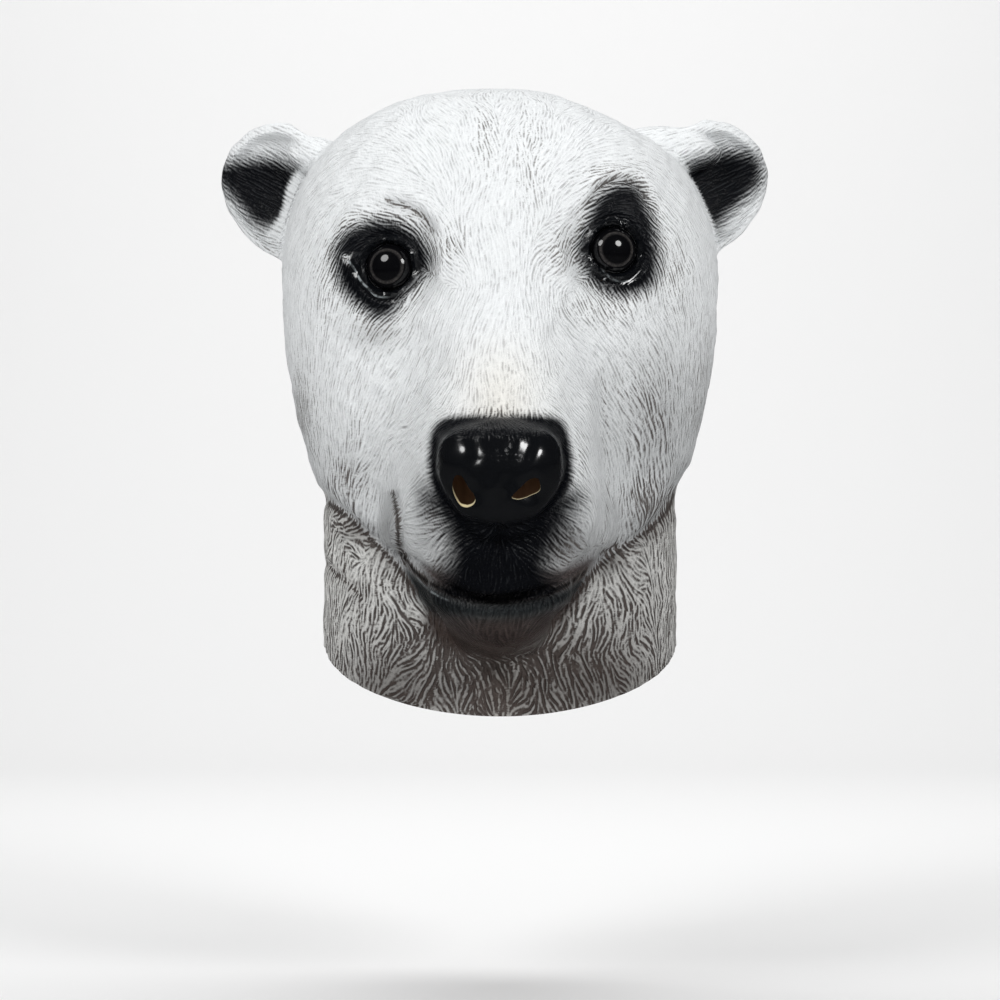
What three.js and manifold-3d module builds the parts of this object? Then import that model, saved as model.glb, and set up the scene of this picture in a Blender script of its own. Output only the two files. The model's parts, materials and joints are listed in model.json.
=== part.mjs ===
// A full-head bear mask, cast hollow in soft latex, with two domed plastic eyes set in its sockets.
// Millimetres, +Z up. The face looks along -Y and +X is to the viewer's right.
// The origin is where the inside of the crown rests on the top of the wearer's head.
import * as THREE from "three";
import { mergeVertices } from "three/addons/utils/BufferGeometryUtils.js";
import Module from "manifold-3d";

const wasm = await Module();
wasm.setup();

// The latex casting
const wall = 2;
const maskHeight = 339; // crown to the lowest point of the front hem
const hemRise = 37; // how much higher the hem is at the sides than at the front

// The head form, from the crown to the chin
const crownHeight = 106; // crown to the widest level, through the eyes
const crownLean = 4; // how far the crown leans to the viewer's left
const headWidth = 239;
const faceDepth = 104; // axis to the face beside the muzzle
const backDepth = 108;
const jawDrop = 201; // widest level to the chin
const planRoundness = 2.2; // how square head and neck are seen from above, 2 for an ellipse
// The same seen from the front and in profile, above and below the widest level.
const headRoundness = {
  above: { side: 2.25, front: 2.1, back: 2.4 },
  below: { side: 2, front: 3.4, back: 2 },
};

// The neck
const neckWidth = 193;
const throatDepth = 88;
const napeDepth = 92;
const hemFlare = 6; // how far the front and back of the neck widen towards the hem
const neckBlend = 5; // how softly the jaw runs into the neck
const hemDip = 1.1; // how sharply the hem dips at the front

// The muzzle
const muzzleReach = 178; // axis to the front of the lips
const muzzleWidth = 130;
const muzzleBlend = 48; // how softly the muzzle's bridge runs out into the face
const mouthRise = 25; // how much higher the corners of the mouth are than its middle
const mouthWidth = 116;
// Where the rise of the mouth sets in and where the chin loses it, from start to end, as shares of
// the way from crown to chin.
const mouthLevels = [0.72, 0.86];
const chinLevels = [0.9, 1.02];
const chinLoss = 0.6; // share of the rise that is lost

// The nose pad
const noseReach = 177; // axis to its front
const noseWidth = 76;
const noseHeight = 66;
const noseBlend = 4;
const noseDown = 0.705; // its middle, as a share of the way from crown to chin
const noseTaper = 0.24; // how much wider it is above its middle, and narrower below
const noseDome = 0.16; // how far it falls back towards its upper and lower edge
const noseOutline = 2.6; // how square it is seen from the front, 2 for an ellipse
const noseBlunt = 4.5; // how square it is seen from above

// The eyes, and the flat sockets that they are set in
const eyeHole = 25; // diameter
const eyeClearance = 0.3;
const eyeBulge = 7.5; // how far the dome stands out of its socket
const eyeShell = 1.5;
const eyeFlange = 3; // how far the rim behind the latex reaches past the hole
const socketFlat = 36; // diameter of the flat floor of a socket
const socketFade = 16; // width of the slope around it
const socketDepth = 5;

// The ears
const earWidth = 62;
const earHeight = 80;
const earThickness = 8; // of the rolled rim
const earCup = 15; // depth of the hollow in front
const earStand = 152; // axis to the outermost point of an ear
const earTaper = 0.5; // how much narrower an ear is at its foot than at its top
const earFrontSweep = 0.9; // share of a quarter turn that the bowl's front takes
const earBackSweep = 0.75;

// The nostrils
const nostrilWidth = 8;
const nostrilHeight = 11;
const nostrilSpread = 32; // centre to centre
const nostrilDown = 0.718; // share of the way from crown to chin

// Mesh fineness
const columns = 58;
const rows = 41;
const frontCrowding = 2.6; // columns at the face for each one of the same width at the back
const columnSmoothing = 8; // how often the columns are evened out between rows
const rowGuides = [0, 20, 60]; // angles from straight ahead along which the rows are spaced
const earSegments = 20;
const eyeSegments = 18;
const eyeRings = 5;
const nostrilSegments = 12;

const crownTop = wall;
const widestLevel = crownTop - crownHeight;
const chinLevel = widestLevel - jawDrop;
const lowestHem = crownTop - maskHeight;

// The muzzle's sections, brow to throat. level: share of the way from crown to chin.
// reach, width and blend: shares of the muzzle's own. blunt: how square its front is, 2 for an oval.
const muzzleSections = [
  { level: 0.03, reach: 0, width: 0.4, blunt: 2.3, blend: 0 },
  { level: 0.12, reach: 0.34, width: 0.5, blunt: 2.3, blend: 0.7 },
  { level: 0.2, reach: 0.5, width: 0.56, blunt: 2.3, blend: 1 },
  { level: 0.28, reach: 0.6, width: 0.6, blunt: 2.3, blend: 1 },
  { level: 0.36, reach: 0.665, width: 0.63, blunt: 2.4, blend: 1 },
  { level: 0.44, reach: 0.735, width: 0.67, blunt: 2.5, blend: 1 },
  { level: 0.52, reach: 0.8, width: 0.73, blunt: 2.6, blend: 0.9 },
  { level: 0.58, reach: 0.85, width: 0.8, blunt: 2.8, blend: 0.75 },
  { level: 0.64, reach: 0.895, width: 0.86, blunt: 3, blend: 0.55 },
  { level: 0.7, reach: 0.92, width: 0.92, blunt: 3.2, blend: 0.35 },
  { level: 0.76, reach: 0.925, width: 0.97, blunt: 3.4, blend: 0.22 },
  { level: 0.82, reach: 0.91, width: 0.98, blunt: 3.4, blend: 0.15 },
  { level: 0.865, reach: 0.885, width: 0.96, blunt: 3.2, blend: 0.15 },
  { level: 0.883, reach: 0.865, width: 0.94, blunt: 3, blend: 0.15 },
  { level: 0.898, reach: 0.82, width: 0.9, blunt: 2.9, blend: 0.15 },
  { level: 0.915, reach: 0.84, width: 0.9, blunt: 2.8, blend: 0.15 },
  { level: 0.945, reach: 0.82, width: 0.85, blunt: 2.7, blend: 0.25 },
  { level: 0.97, reach: 0.765, width: 0.77, blunt: 2.5, blend: 0.45 },
  { level: 0.988, reach: 0.67, width: 0.68, blunt: 2.4, blend: 0.6 },
  { level: 1.005, reach: 0.48, width: 0.55, blunt: 2.4, blend: 0.7 },
  { level: 1.03, reach: 0.25, width: 0.45, blunt: 2.4, blend: 0.7 },
];

// The two sides differ a little, as the soft casting sits on a head.
// across, down: shares of half the head's width and of the way from crown to chin.
const eyePlaces = [
  { name: "eye_right", across: -0.497, down: 0.335, yaw: -14, pitch: 2 },
  { name: "eye_left", across: 0.51, down: 0.306, yaw: 14, pitch: 2 },
];
const earPlaces = [
  { side: -1, stand: 0.985, down: 0.188, yaw: -24, roll: -22 },
  { side: 1, stand: 0.945, down: 0.183, yaw: 20, roll: 22 },
];

const degrees = THREE.MathUtils.degToRad;

function power(value, exponent) {
  return Math.pow(Math.max(value, 0), exponent);
}

// The quarter arc of a superellipse: 1 at share 0, down to 0 at share 1.
function arch(share, roundness) {
  return power(1 - power(Math.abs(share), roundness), 1 / roundness);
}

function smoothMax(a, b, blend) {
  const near = Math.max(blend - Math.abs(a - b), 0);
  return Math.max(a, b) + (blend > 0 ? (near * near) / blend / 4 : 0);
}

function fade(distance, start, width) {
  return 1 - THREE.MathUtils.smoothstep(distance, start, start + width);
}

// Distance from the axis to an oval of the given half sizes, at an angle from straight ahead.
function ovalRadius(angle, halfWidth, front, back, roundness) {
  const ahead = Math.cos(angle);
  const depth = ahead > 0 ? front : back;
  const sum =
    power(Math.abs(Math.sin(angle)) / halfWidth, roundness) +
    power(Math.abs(ahead) / depth, roundness);
  return Math.pow(sum, -1 / roundness);
}

function headRadius(angle, z) {
  const above = z > widestLevel;
  const share = (z - widestLevel) / (above ? crownHeight : jawDrop);
  const roundness = above ? headRoundness.above : headRoundness.below;
  const thin = 1e-3;
  const side = (headWidth / 2) * Math.max(arch(share, roundness.side), thin);
  const front = faceDepth * Math.max(arch(share, roundness.front), thin);
  const back = backDepth * Math.max(arch(share, roundness.back), thin);
  return ovalRadius(angle, side, front, back, planRoundness);
}

function neckRadius(angle, z) {
  if (z > widestLevel) return 0;
  const flare = hemFlare * power((chinLevel + hemRise - z) / (2 * hemRise), 2);
  return ovalRadius(angle, neckWidth / 2, throatDepth + flare, napeDepth + flare, planRoundness);
}

// A row of a table at any level, eased between its neighbours.
function sectionAt(table, level) {
  const last = table.length - 1;
  if (level <= table[0].level) return table[0];
  if (level >= table[last].level) return table[last];
  const i = table.findIndex((row) => row.level > level) - 1;
  const [a, b, c, d] = [-1, 0, 1, 2].map((k) => table[THREE.MathUtils.clamp(i + k, 0, last)]);
  const t = (level - b.level) / (c.level - b.level);
  const between = (key) => {
    const slopeIn = ((c[key] - a[key]) / (c.level - a.level)) * (c.level - b.level);
    const slopeOut = ((d[key] - b[key]) / (d.level - b.level)) * (c.level - b.level);
    const t2 = t * t;
    const t3 = t2 * t;
    return (
      (2 * t3 - 3 * t2 + 1) * b[key] +
      (t3 - 2 * t2 + t) * slopeIn +
      (3 * t2 - 2 * t3) * c[key] +
      (t3 - t2) * slopeOut
    );
  };
  return {
    reach: between("reach"),
    width: between("width"),
    blunt: between("blunt"),
    blend: between("blend"),
  };
}

// The mouth and jaw curve up towards their corners: the lower sections are read further down there.
function muzzleSection(angle, z) {
  const level = (crownTop - z) / (crownTop - chinLevel);
  const sideways = Math.min((muzzleReach * Math.abs(Math.sin(angle))) / (mouthWidth / 2), 1);
  const mouth = THREE.MathUtils.smoothstep(level, ...mouthLevels);
  const chin = THREE.MathUtils.smoothstep(level, ...chinLevels);
  const share = sideways * sideways * mouth * (1 - chinLoss * chin);
  return sectionAt(muzzleSections, level + (mouthRise / (crownTop - chinLevel)) * share);
}

function muzzleRadius(angle, section) {
  const halfWidth = (muzzleWidth / 2) * section.width;
  return ovalRadius(angle, halfWidth, muzzleReach * section.reach, 1, section.blunt);
}

// The nose pad is broad above and narrow below, and stands a little proud of the muzzle.
function noseRadius(angle, z) {
  const middle = crownTop - (crownTop - chinLevel) * noseDown;
  const share = (z - middle) / (noseHeight / 2);
  const size = arch(Math.min(Math.abs(share), 1), noseOutline);
  if (size < 1e-3) return 0;
  const halfWidth = (noseWidth / 2) * size * (1 + noseTaper * share);
  const reach = noseReach * (1 - noseDome + noseDome * size);
  return ovalRadius(angle, halfWidth, reach, 1, noseBlunt);
}

function formRadius(angle, z) {
  const headAndNeck = smoothMax(headRadius(angle, z), neckRadius(angle, z), neckBlend);
  if (Math.cos(angle) <= 0) return headAndNeck;
  const section = muzzleSection(angle, z);
  const withMuzzle = smoothMax(headAndNeck, muzzleRadius(angle, section), muzzleBlend * section.blend);
  return smoothMax(withMuzzle, noseRadius(angle, z), noseBlend);
}

function formPoint(angle, z) {
  const r = formRadius(angle, z);
  const lean = crownLean * power((z - widestLevel) / crownHeight, 2);
  return new THREE.Vector3(r * Math.sin(angle) - lean, -r * Math.cos(angle), z);
}

// The height of the hem in the direction of an angle from straight ahead.
function hemLevel(angle) {
  return lowestHem + hemRise * (1 - power(Math.cos(angle), hemDip));
}

// The point of the face that is straight behind a place seen from the front.
function facePoint(x, z) {
  let [low, high] = [-Math.PI / 2, Math.PI / 2];
  for (let step = 0; step < 40; step += 1) {
    const middle = (low + high) / 2;
    if (formPoint(middle, z).x < x) low = middle;
    else high = middle;
  }
  return formPoint((low + high) / 2, z);
}

// A frame with its origin on the face at an eye and its Y axis pointing out of the socket.
function eyeFrame({ across, down, yaw, pitch }) {
  const x = (headWidth / 2) * across;
  const z = crownTop - (crownTop - chinLevel) * down;
  const out = new THREE.Vector3(0, -1, 0);
  out.applyEuler(new THREE.Euler(degrees(-pitch), 0, degrees(yaw), "ZYX"));
  const seat = facePoint(x, z).addScaledVector(out, -socketDepth);
  const turn = new THREE.Quaternion().setFromUnitVectors(new THREE.Vector3(0, 1, 0), out);
  return new THREE.Matrix4().compose(seat, turn, new THREE.Vector3(1, 1, 1));
}

const eyeFrames = eyePlaces.map(eyeFrame);

// Presses the sockets' flat floors into a point of the form.
function pressSockets(point) {
  for (const frame of eyeFrames) {
    const local = point.clone().applyMatrix4(frame.clone().invert());
    if (local.y < -headWidth / 4) continue;
    const press = fade(Math.hypot(local.x, local.z), socketFlat / 2, socketFade);
    local.y *= 1 - press;
    point.copy(local.applyMatrix4(frame));
  }
  return point;
}

// Heights of the rows as shares of the way from crown to hem, evenly spaced along the form.
function rowShares() {
  const fine = 600;
  const along = [0];
  for (let k = 1; k <= fine; k += 1) {
    const heights = [(k - 1) / fine, k / fine].map((share) => crownTop - share * maskHeight);
    const steps = rowGuides.map((guide) => {
      const reach = heights.map((z) => (z >= crownTop ? 0 : formRadius(degrees(guide), z)));
      return Math.hypot(reach[1] - reach[0], heights[1] - heights[0]);
    });
    const total = steps.reduce((sum, step) => sum + step, 0);
    along.push(along[k - 1] + total / rowGuides.length);
  }
  return Array.from({ length: rows }, (_, j) => {
    const wanted = (along[fine] * (j + 1)) / rows;
    const k = along.findIndex((length) => length >= wanted - 1e-9);
    const t = (wanted - along[k - 1]) / (along[k] - along[k - 1]);
    return (k - 1 + t) / fine;
  });
}

// Angles of the columns in one row, evenly spaced along the ring and closer together at the face.
function columnAngles(levelAt) {
  const fine = 360;
  const along = [0];
  const angleOf = (k) => -Math.PI + (2 * Math.PI * k) / fine;
  for (let k = 1; k <= fine; k += 1) {
    const [a, b] = [angleOf(k - 1), angleOf(k)];
    const step = formPoint(a, levelAt(a)).distanceTo(formPoint(b, levelAt(b)));
    const crowding = 1 + (frontCrowding - 1) * (0.5 + 0.5 * Math.cos((a + b) / 2));
    along.push(along[k - 1] + step * crowding);
  }
  return Array.from({ length: columns }, (_, i) => {
    const wanted = (along[fine] * (i + 0.5)) / columns;
    const k = along.findIndex((length) => length >= wanted);
    return angleOf(k - 1 + (wanted - along[k - 1]) / (along[k] - along[k - 1]));
  });
}

// Lets the columns run smoothly down the form, past the sudden steps of the chin and nose.
function evenedColumns(angles) {
  return angles.map((row, j) => {
    const above = angles[Math.max(j - 1, 0)];
    const below = angles[Math.min(j + 1, rows - 1)];
    return row.map((angle, i) => (above[i] + 2 * angle + below[i]) / 4);
  });
}

// The outer skin's points, row by row: each row is a ring, and the last one is the hem.
function skinRings() {
  const levels = rowShares().map((share) => (angle) => crownTop - share * (crownTop - hemLevel(angle)));
  let angles = levels.map(columnAngles);
  for (let pass = 0; pass < columnSmoothing; pass += 1) angles = evenedColumns(angles);
  return levels.map((levelAt, j) =>
    angles[j].map((angle) => pressSockets(formPoint(angle, levelAt(angle)))),
  );
}

// Joins rings of points, below a top point, into an open bell.
function bellGeometry(top, rings) {
  const points = [top, ...rings.flat()];
  const index = [];
  const at = (j, i) => 1 + j * columns + (i % columns);
  for (let i = 0; i < columns; i += 1) index.push(0, at(0, i), at(0, i + 1));
  for (let j = 0; j + 1 < rings.length; j += 1)
    for (let i = 0; i < columns; i += 1) {
      index.push(at(j, i), at(j + 1, i), at(j + 1, i + 1));
      index.push(at(j, i), at(j + 1, i + 1), at(j, i + 1));
    }
  const geometry = new THREE.BufferGeometry().setFromPoints(points);
  return geometry.setIndex(index);
}

// The same bell with its mouth closed by a fan.
function closedBell(top, rings) {
  const open = bellGeometry(top, rings);
  const mouth = rings[rings.length - 1];
  const middle = mouth.reduce((sum, p) => sum.add(p), new THREE.Vector3());
  middle.divideScalar(mouth.length);
  const points = [top, ...rings.flat(), middle];
  const first = points.length - 1 - columns;
  const index = Array.from(open.index.array);
  for (let i = 0; i < columns; i += 1)
    index.push(first + i, points.length - 1, first + ((i + 1) % columns));
  return new THREE.BufferGeometry().setFromPoints(points).setIndex(index);
}

function solidOf(geometry) {
  const bare = geometry.clone();
  for (const name of Object.keys(bare.attributes)) if (name !== "position") bare.deleteAttribute(name);
  const merged = mergeVertices(bare, 1e-3);
  const mesh = new wasm.Mesh({
    numProp: 3,
    vertProperties: merged.attributes.position.array,
    triVerts: new Uint32Array(merged.index.array),
  });
  return new wasm.Manifold(mesh);
}

function geometryOf(solid) {
  const mesh = solid.getMesh();
  const geometry = new THREE.BufferGeometry();
  geometry.setAttribute("position", new THREE.BufferAttribute(mesh.vertProperties, mesh.numProp));
  geometry.setIndex(new THREE.BufferAttribute(mesh.triVerts, 1));
  return geometry;
}

// One ear: a bowl with a rolled rim, turned to face forwards and sunk into the side of the head.
function earSolid({ side, stand, down, yaw, roll }) {
  const rim = earThickness / 2;
  const profile = [];
  const arcPoints = (from, to, steps, place) => {
    for (let k = 0; k <= steps; k += 1) profile.push(place(from + ((to - from) * k) / steps));
  };
  const outer = 1 - rim / (earWidth / 2);
  const half = Math.PI / 2;
  const bowlAt = (t, offset) => [outer * Math.sin(t), offset - earCup * Math.cos(t)];
  arcPoints(0, half * earFrontSweep, 5, (t) => bowlAt(t, -rim));
  arcPoints(-half, half, 4, (t) => [outer + (1 - outer) * Math.cos(t), rim * Math.sin(t)]);
  arcPoints(half * earBackSweep, 0, 4, (t) => bowlAt(t, rim));
  const points = profile.map(([radius, height]) => new THREE.Vector2(radius, height));
  points[0].x = 0;
  points[points.length - 1].x = 0;
  const bowl = new THREE.LatheGeometry(points, earSegments);
  bowl.rotateX(Math.PI);
  bowl.scale(earWidth / 2, 1, earHeight / 2);
  const place = bowl.getAttribute("position");
  for (let i = 0; i < place.count; i += 1)
    place.setX(i, place.getX(i) * (1 + (earTaper * place.getZ(i)) / earHeight));
  const z = crownTop - (crownTop - chinLevel) * down;
  const middle = side * (earStand * stand - (earWidth / 2) * Math.cos(degrees(yaw)));
  bowl.rotateY(degrees(roll));
  bowl.rotateZ(degrees(yaw));
  bowl.translate(middle, 0, z);
  return solidOf(bowl);
}

// A round plug along an eye's axis, or any lathed profile, in the eye's own frame.
function alongEye(profile, frame) {
  const points = profile.map(([radius, out]) => new THREE.Vector2(radius, out));
  return new THREE.LatheGeometry(points, eyeSegments).applyMatrix4(frame);
}

function eyeHoleSolid(frame) {
  const reach = socketDepth + eyeBulge;
  const radius = eyeHole / 2;
  return solidOf(alongEye([[0, -reach], [radius, -reach], [radius, reach], [0, reach]], frame));
}

// A dome pushed through its hole from behind, with a rim glued to the back of the latex.
function eyeGeometry(frame) {
  const plug = eyeHole / 2 - eyeClearance;
  const inside = plug - eyeShell;
  const rimFront = -wall - eyeClearance;
  const rimBack = rimFront - eyeShell;
  const dome = (radius, height) =>
    Array.from({ length: eyeRings + 1 }, (_, k) => (k / eyeRings) * (Math.PI / 2)).map((turn) => [
      radius * Math.cos(turn),
      height * Math.sin(turn),
    ]);
  const profile = [
    ...dome(inside, eyeBulge - eyeShell).reverse(),
    [inside, rimBack],
    [plug + eyeFlange, rimBack],
    [plug + eyeFlange, rimFront],
    [plug, rimFront],
    ...dome(plug, eyeBulge),
  ];
  profile[0][0] = 0;
  profile[profile.length - 1][0] = 0;
  return alongEye(profile, frame);
}

function nostrilSolid(side) {
  const z = crownTop - (crownTop - chinLevel) * nostrilDown;
  const x = (side * nostrilSpread) / 2;
  const hole = new THREE.CylinderGeometry(1, 1, muzzleReach / 4, nostrilSegments);
  hole.scale(nostrilWidth / 2, 1, nostrilHeight / 2);
  hole.translate(x, facePoint(x, z).y, z);
  return solidOf(hole);
}

// The lining's points, a wall's thickness behind the skin's. The directions are evened out between
// neighbours, so that the wall stays whole where the chin meets the throat.
function liningRings(top, rings) {
  const skin = bellGeometry(top, rings);
  skin.computeVertexNormals();
  const normals = skin.getAttribute("normal");
  const outward = (j, i) => {
    const sum = new THREE.Vector3();
    for (const [dj, di] of [[0, 0], [1, 0], [-1, 0], [0, 1], [0, -1]]) {
      const ring = THREE.MathUtils.clamp(j + dj, 0, rows - 1);
      const column = (i + di + columns) % columns;
      sum.add(new THREE.Vector3().fromBufferAttribute(normals, 1 + ring * columns + column));
    }
    return sum.normalize();
  };
  return rings.map((ring, j) => ring.map((p, i) => p.clone().addScaledVector(outward(j, i), -wall)));
}

function castingGeometry() {
  const rings = skinRings();
  const top = new THREE.Vector3(-crownLean, 0, crownTop);
  const liningTop = new THREE.Vector3(-crownLean, 0, crownTop - wall);
  const lining = liningRings(top, rings);
  const below = new THREE.Vector3(0, 0, -hemRise);
  const mouth = lining[lining.length - 1].map((p) => p.clone().add(below));
  const hollow = solidOf(closedBell(liningTop, [...lining, mouth]));
  let casting = solidOf(closedBell(top, rings));
  for (const place of earPlaces) casting = casting.add(earSolid(place));
  casting = casting.subtract(hollow);
  for (const frame of eyeFrames) casting = casting.subtract(eyeHoleSolid(frame));
  for (const side of [-1, 1]) casting = casting.subtract(nostrilSolid(side));
  return geometryOf(casting);
}

const latex = new THREE.MeshStandardMaterial({ color: 0xe6e6e2, roughness: 0.55, metalness: 0 });
const blackPlastic = new THREE.MeshStandardMaterial({ color: 0x0b0b0e, roughness: 0.08, metalness: 0 });

function namedMesh(name, geometry, material) {
  const mesh = new THREE.Mesh(geometry, material);
  mesh.name = name;
  return mesh;
}

const mask = new THREE.Group();
mask.add(namedMesh("mask_shell", castingGeometry(), latex));
eyePlaces.forEach(({ name }, i) =>
  mask.add(namedMesh(name, eyeGeometry(eyeFrames[i]), blackPlastic)),
);

export default mask;
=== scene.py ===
# A full-head polar bear mask: one soft latex casting and two plastic eyes, on a pale studio floor.
# Metres, +Z up, the face looks along -Y. The origin is inside the crown, where the mask hangs.
import json
import math

import bmesh
import bpy
import numpy as np
from mathutils import Matrix, Vector

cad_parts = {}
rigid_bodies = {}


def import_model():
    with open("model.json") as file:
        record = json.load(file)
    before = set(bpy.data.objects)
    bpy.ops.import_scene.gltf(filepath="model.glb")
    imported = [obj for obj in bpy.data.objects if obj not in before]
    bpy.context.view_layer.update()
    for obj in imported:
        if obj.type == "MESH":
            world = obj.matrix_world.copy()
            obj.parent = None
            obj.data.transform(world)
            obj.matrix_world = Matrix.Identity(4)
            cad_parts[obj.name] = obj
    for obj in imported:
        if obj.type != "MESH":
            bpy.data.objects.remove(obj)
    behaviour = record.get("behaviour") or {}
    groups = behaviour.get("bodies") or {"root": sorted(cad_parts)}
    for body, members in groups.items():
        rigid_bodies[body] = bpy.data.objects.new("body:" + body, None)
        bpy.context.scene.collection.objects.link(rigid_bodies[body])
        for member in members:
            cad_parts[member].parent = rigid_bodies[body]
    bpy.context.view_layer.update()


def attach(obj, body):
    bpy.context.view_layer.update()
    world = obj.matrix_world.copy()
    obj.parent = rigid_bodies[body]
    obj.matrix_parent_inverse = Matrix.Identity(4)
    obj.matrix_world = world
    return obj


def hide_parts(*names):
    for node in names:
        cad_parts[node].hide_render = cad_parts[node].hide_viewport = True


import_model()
mm = 0.001

# The head form
# The real mask is natural latex poured into a plaster mould of the sculpted head and stripped
# off when cured, so head, muzzle, nose, lips and neck are one skin about 2 mm thick.
wall = 2 * mm
mask_height = 339 * mm
hem_rise = 37 * mm

crown_height = 106 * mm
crown_lean = 4 * mm
head_width = 239 * mm
face_depth = 104 * mm
back_depth = 108 * mm
jaw_drop = 201 * mm

neck_width = 193 * mm
throat_depth = 88 * mm
nape_depth = 92 * mm
hem_flare = 6 * mm
neck_blend = 5 * mm

muzzle_reach = 178 * mm
muzzle_width = 130 * mm
muzzle_blend = 48 * mm
mouth_rise = 25 * mm
mouth_width = 116 * mm

nose_reach = 177 * mm
nose_width = 76 * mm
nose_height = 66 * mm
nose_blend = 4 * mm

crown_top = wall
widest_level = crown_top - crown_height
chin_level = widest_level - jaw_drop
lowest_hem = crown_top - mask_height
face_length = crown_top - chin_level


# The rows of a table as records, by the names of its columns.
def table(columns, rows):
    return [dict(zip(columns.split(), row)) for row in rows]


# Sections of the muzzle from brow to throat. level: share of the way from crown to chin.
# reach, width and blend: shares of the muzzle's own. blunt: how square its front is.
muzzle_sections = table("level reach width blunt blend", [
    (0.03, 0, 0.4, 2.3, 0),
    (0.12, 0.34, 0.5, 2.3, 0.7),
    (0.2, 0.5, 0.56, 2.3, 1),
    (0.28, 0.6, 0.6, 2.3, 1),
    (0.36, 0.665, 0.63, 2.4, 1),
    (0.44, 0.735, 0.67, 2.5, 1),
    (0.52, 0.8, 0.73, 2.6, 0.9),
    (0.58, 0.85, 0.8, 2.8, 0.75),
    (0.64, 0.895, 0.86, 3, 0.55),
    (0.7, 0.92, 0.92, 3.2, 0.35),
    (0.76, 0.925, 0.97, 3.4, 0.22),
    (0.82, 0.91, 0.98, 3.4, 0.15),
    (0.865, 0.885, 0.96, 3.2, 0.15),
    (0.883, 0.865, 0.94, 3, 0.15),
    (0.898, 0.82, 0.9, 2.9, 0.15),
    (0.915, 0.84, 0.9, 2.8, 0.15),
    (0.945, 0.82, 0.85, 2.7, 0.25),
    (0.97, 0.765, 0.77, 2.5, 0.45),
    (0.988, 0.67, 0.68, 2.4, 0.6),
    (1.005, 0.48, 0.55, 2.4, 0.7),
    (1.03, 0.25, 0.45, 2.4, 0.7),
])

# across: share of half of the head's width. down: share of the face's length.
eye_places = {
    "eye_right": {"across": -0.497, "down": 0.335, "yaw": -14, "pitch": 2},
    "eye_left": {"across": 0.51, "down": 0.306, "yaw": 14, "pitch": 2},
}
socket_flat = 36 * mm
socket_fade = 16 * mm
socket_depth = 5 * mm


def smooth(start, end, value):
    share = np.clip((value - start) / (end - start), 0, 1)
    return share * share * (3 - 2 * share)


def power(value, exponent):
    return np.maximum(value, 0) ** exponent


def arch(share, roundness):
    return power(1 - np.minimum(np.abs(share), 1) ** roundness, 1 / roundness)


def smooth_max(a, b, blend):
    near = np.maximum(blend - np.abs(a - b), 0)
    return np.maximum(a, b) + near * near / np.maximum(blend, 1e-9) / 4


def oval_radius(angle, half_width, front, back, roundness):
    ahead = np.cos(angle)
    depth = np.maximum(np.where(ahead > 0, front, back), 1e-9)
    total = (np.abs(np.sin(angle)) / half_width) ** roundness + (np.abs(ahead) / depth) ** roundness
    return total ** (-1 / roundness)


def head_radius(angle, z):
    above = z > widest_level
    share = (z - widest_level) / np.where(above, crown_height, jaw_drop)
    side = np.maximum(np.where(above, arch(share, 2.25), arch(share, 2)), 1e-3)
    front = np.maximum(np.where(above, arch(share, 2.1), arch(share, 3.4)), 1e-3)
    back = np.maximum(np.where(above, arch(share, 2.4), arch(share, 2)), 1e-3)
    return oval_radius(angle, head_width / 2 * side, face_depth * front, back_depth * back, 2.2)


def neck_radius(angle, z):
    flare = hem_flare * power((chin_level + hem_rise - z) / hem_rise, 2) * 0.25
    radius = oval_radius(angle, neck_width / 2, throat_depth + flare, nape_depth + flare, 2.2)
    return np.where(z > widest_level, 0, radius)


# A column of a table at any level, eased between the rows.
def eased(sections, key, level):
    knots = np.array([row["level"] for row in sections])
    values = np.array([row[key] for row in sections], float)
    level = np.clip(level, knots[0], knots[-1])
    i = np.clip(np.searchsorted(knots, level, side="right") - 1, 0, len(knots) - 2)
    before = np.maximum(i - 1, 0)
    after = np.minimum(i + 2, len(knots) - 1)
    span = knots[i + 1] - knots[i]
    t = (level - knots[i]) / span
    slope_in = (values[i + 1] - values[before]) / (knots[i + 1] - knots[before]) * span
    slope_out = (values[after] - values[i]) / (knots[after] - knots[i]) * span
    bend_in = (2 * t**3 - 3 * t**2 + 1) * values[i] + (t**3 - 2 * t**2 + t) * slope_in
    return bend_in + (3 * t**2 - 2 * t**3) * values[i + 1] + (t**3 - t**2) * slope_out


def muzzle_level(angle, z):
    level = (crown_top - z) / face_length
    sideways = np.minimum(muzzle_reach * np.abs(np.sin(angle)) / (mouth_width / 2), 1)
    lower = smooth(0.72, 0.86, level) * (1 - 0.6 * smooth(0.9, 1.02, level))
    return level + mouth_rise / face_length * sideways**2 * lower


def nose_radius(angle, z):
    middle = crown_top - face_length * 0.705
    share = (z - middle) / (nose_height / 2)
    size = arch(share, 2.6)
    half_width = nose_width / 2 * np.maximum(size, 1e-3) * (1 + 0.24 * np.clip(share, -1, 1))
    radius = oval_radius(angle, half_width, nose_reach * (0.84 + 0.16 * size), mm, 4.5)
    return np.where(size < 1e-3, 0, radius)


def form_radius(angle, z):
    level = muzzle_level(angle, z)
    half_width = muzzle_width / 2 * eased(muzzle_sections, "width", level)
    reach = np.maximum(muzzle_reach * eased(muzzle_sections, "reach", level), 1e-6)
    muzzle = oval_radius(angle, half_width, reach, mm, eased(muzzle_sections, "blunt", level))
    blend = muzzle_blend * np.maximum(eased(muzzle_sections, "blend", level), 0)
    head = smooth_max(head_radius(angle, z), neck_radius(angle, z), neck_blend)
    face = smooth_max(smooth_max(head, muzzle, blend), nose_radius(angle, z), nose_blend)
    return np.where(np.cos(angle) > 0, face, head)


# The crown leans a little to the mask's own right.
def lean_at(z):
    return crown_lean * power((z - widest_level) / crown_height, 2)


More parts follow.
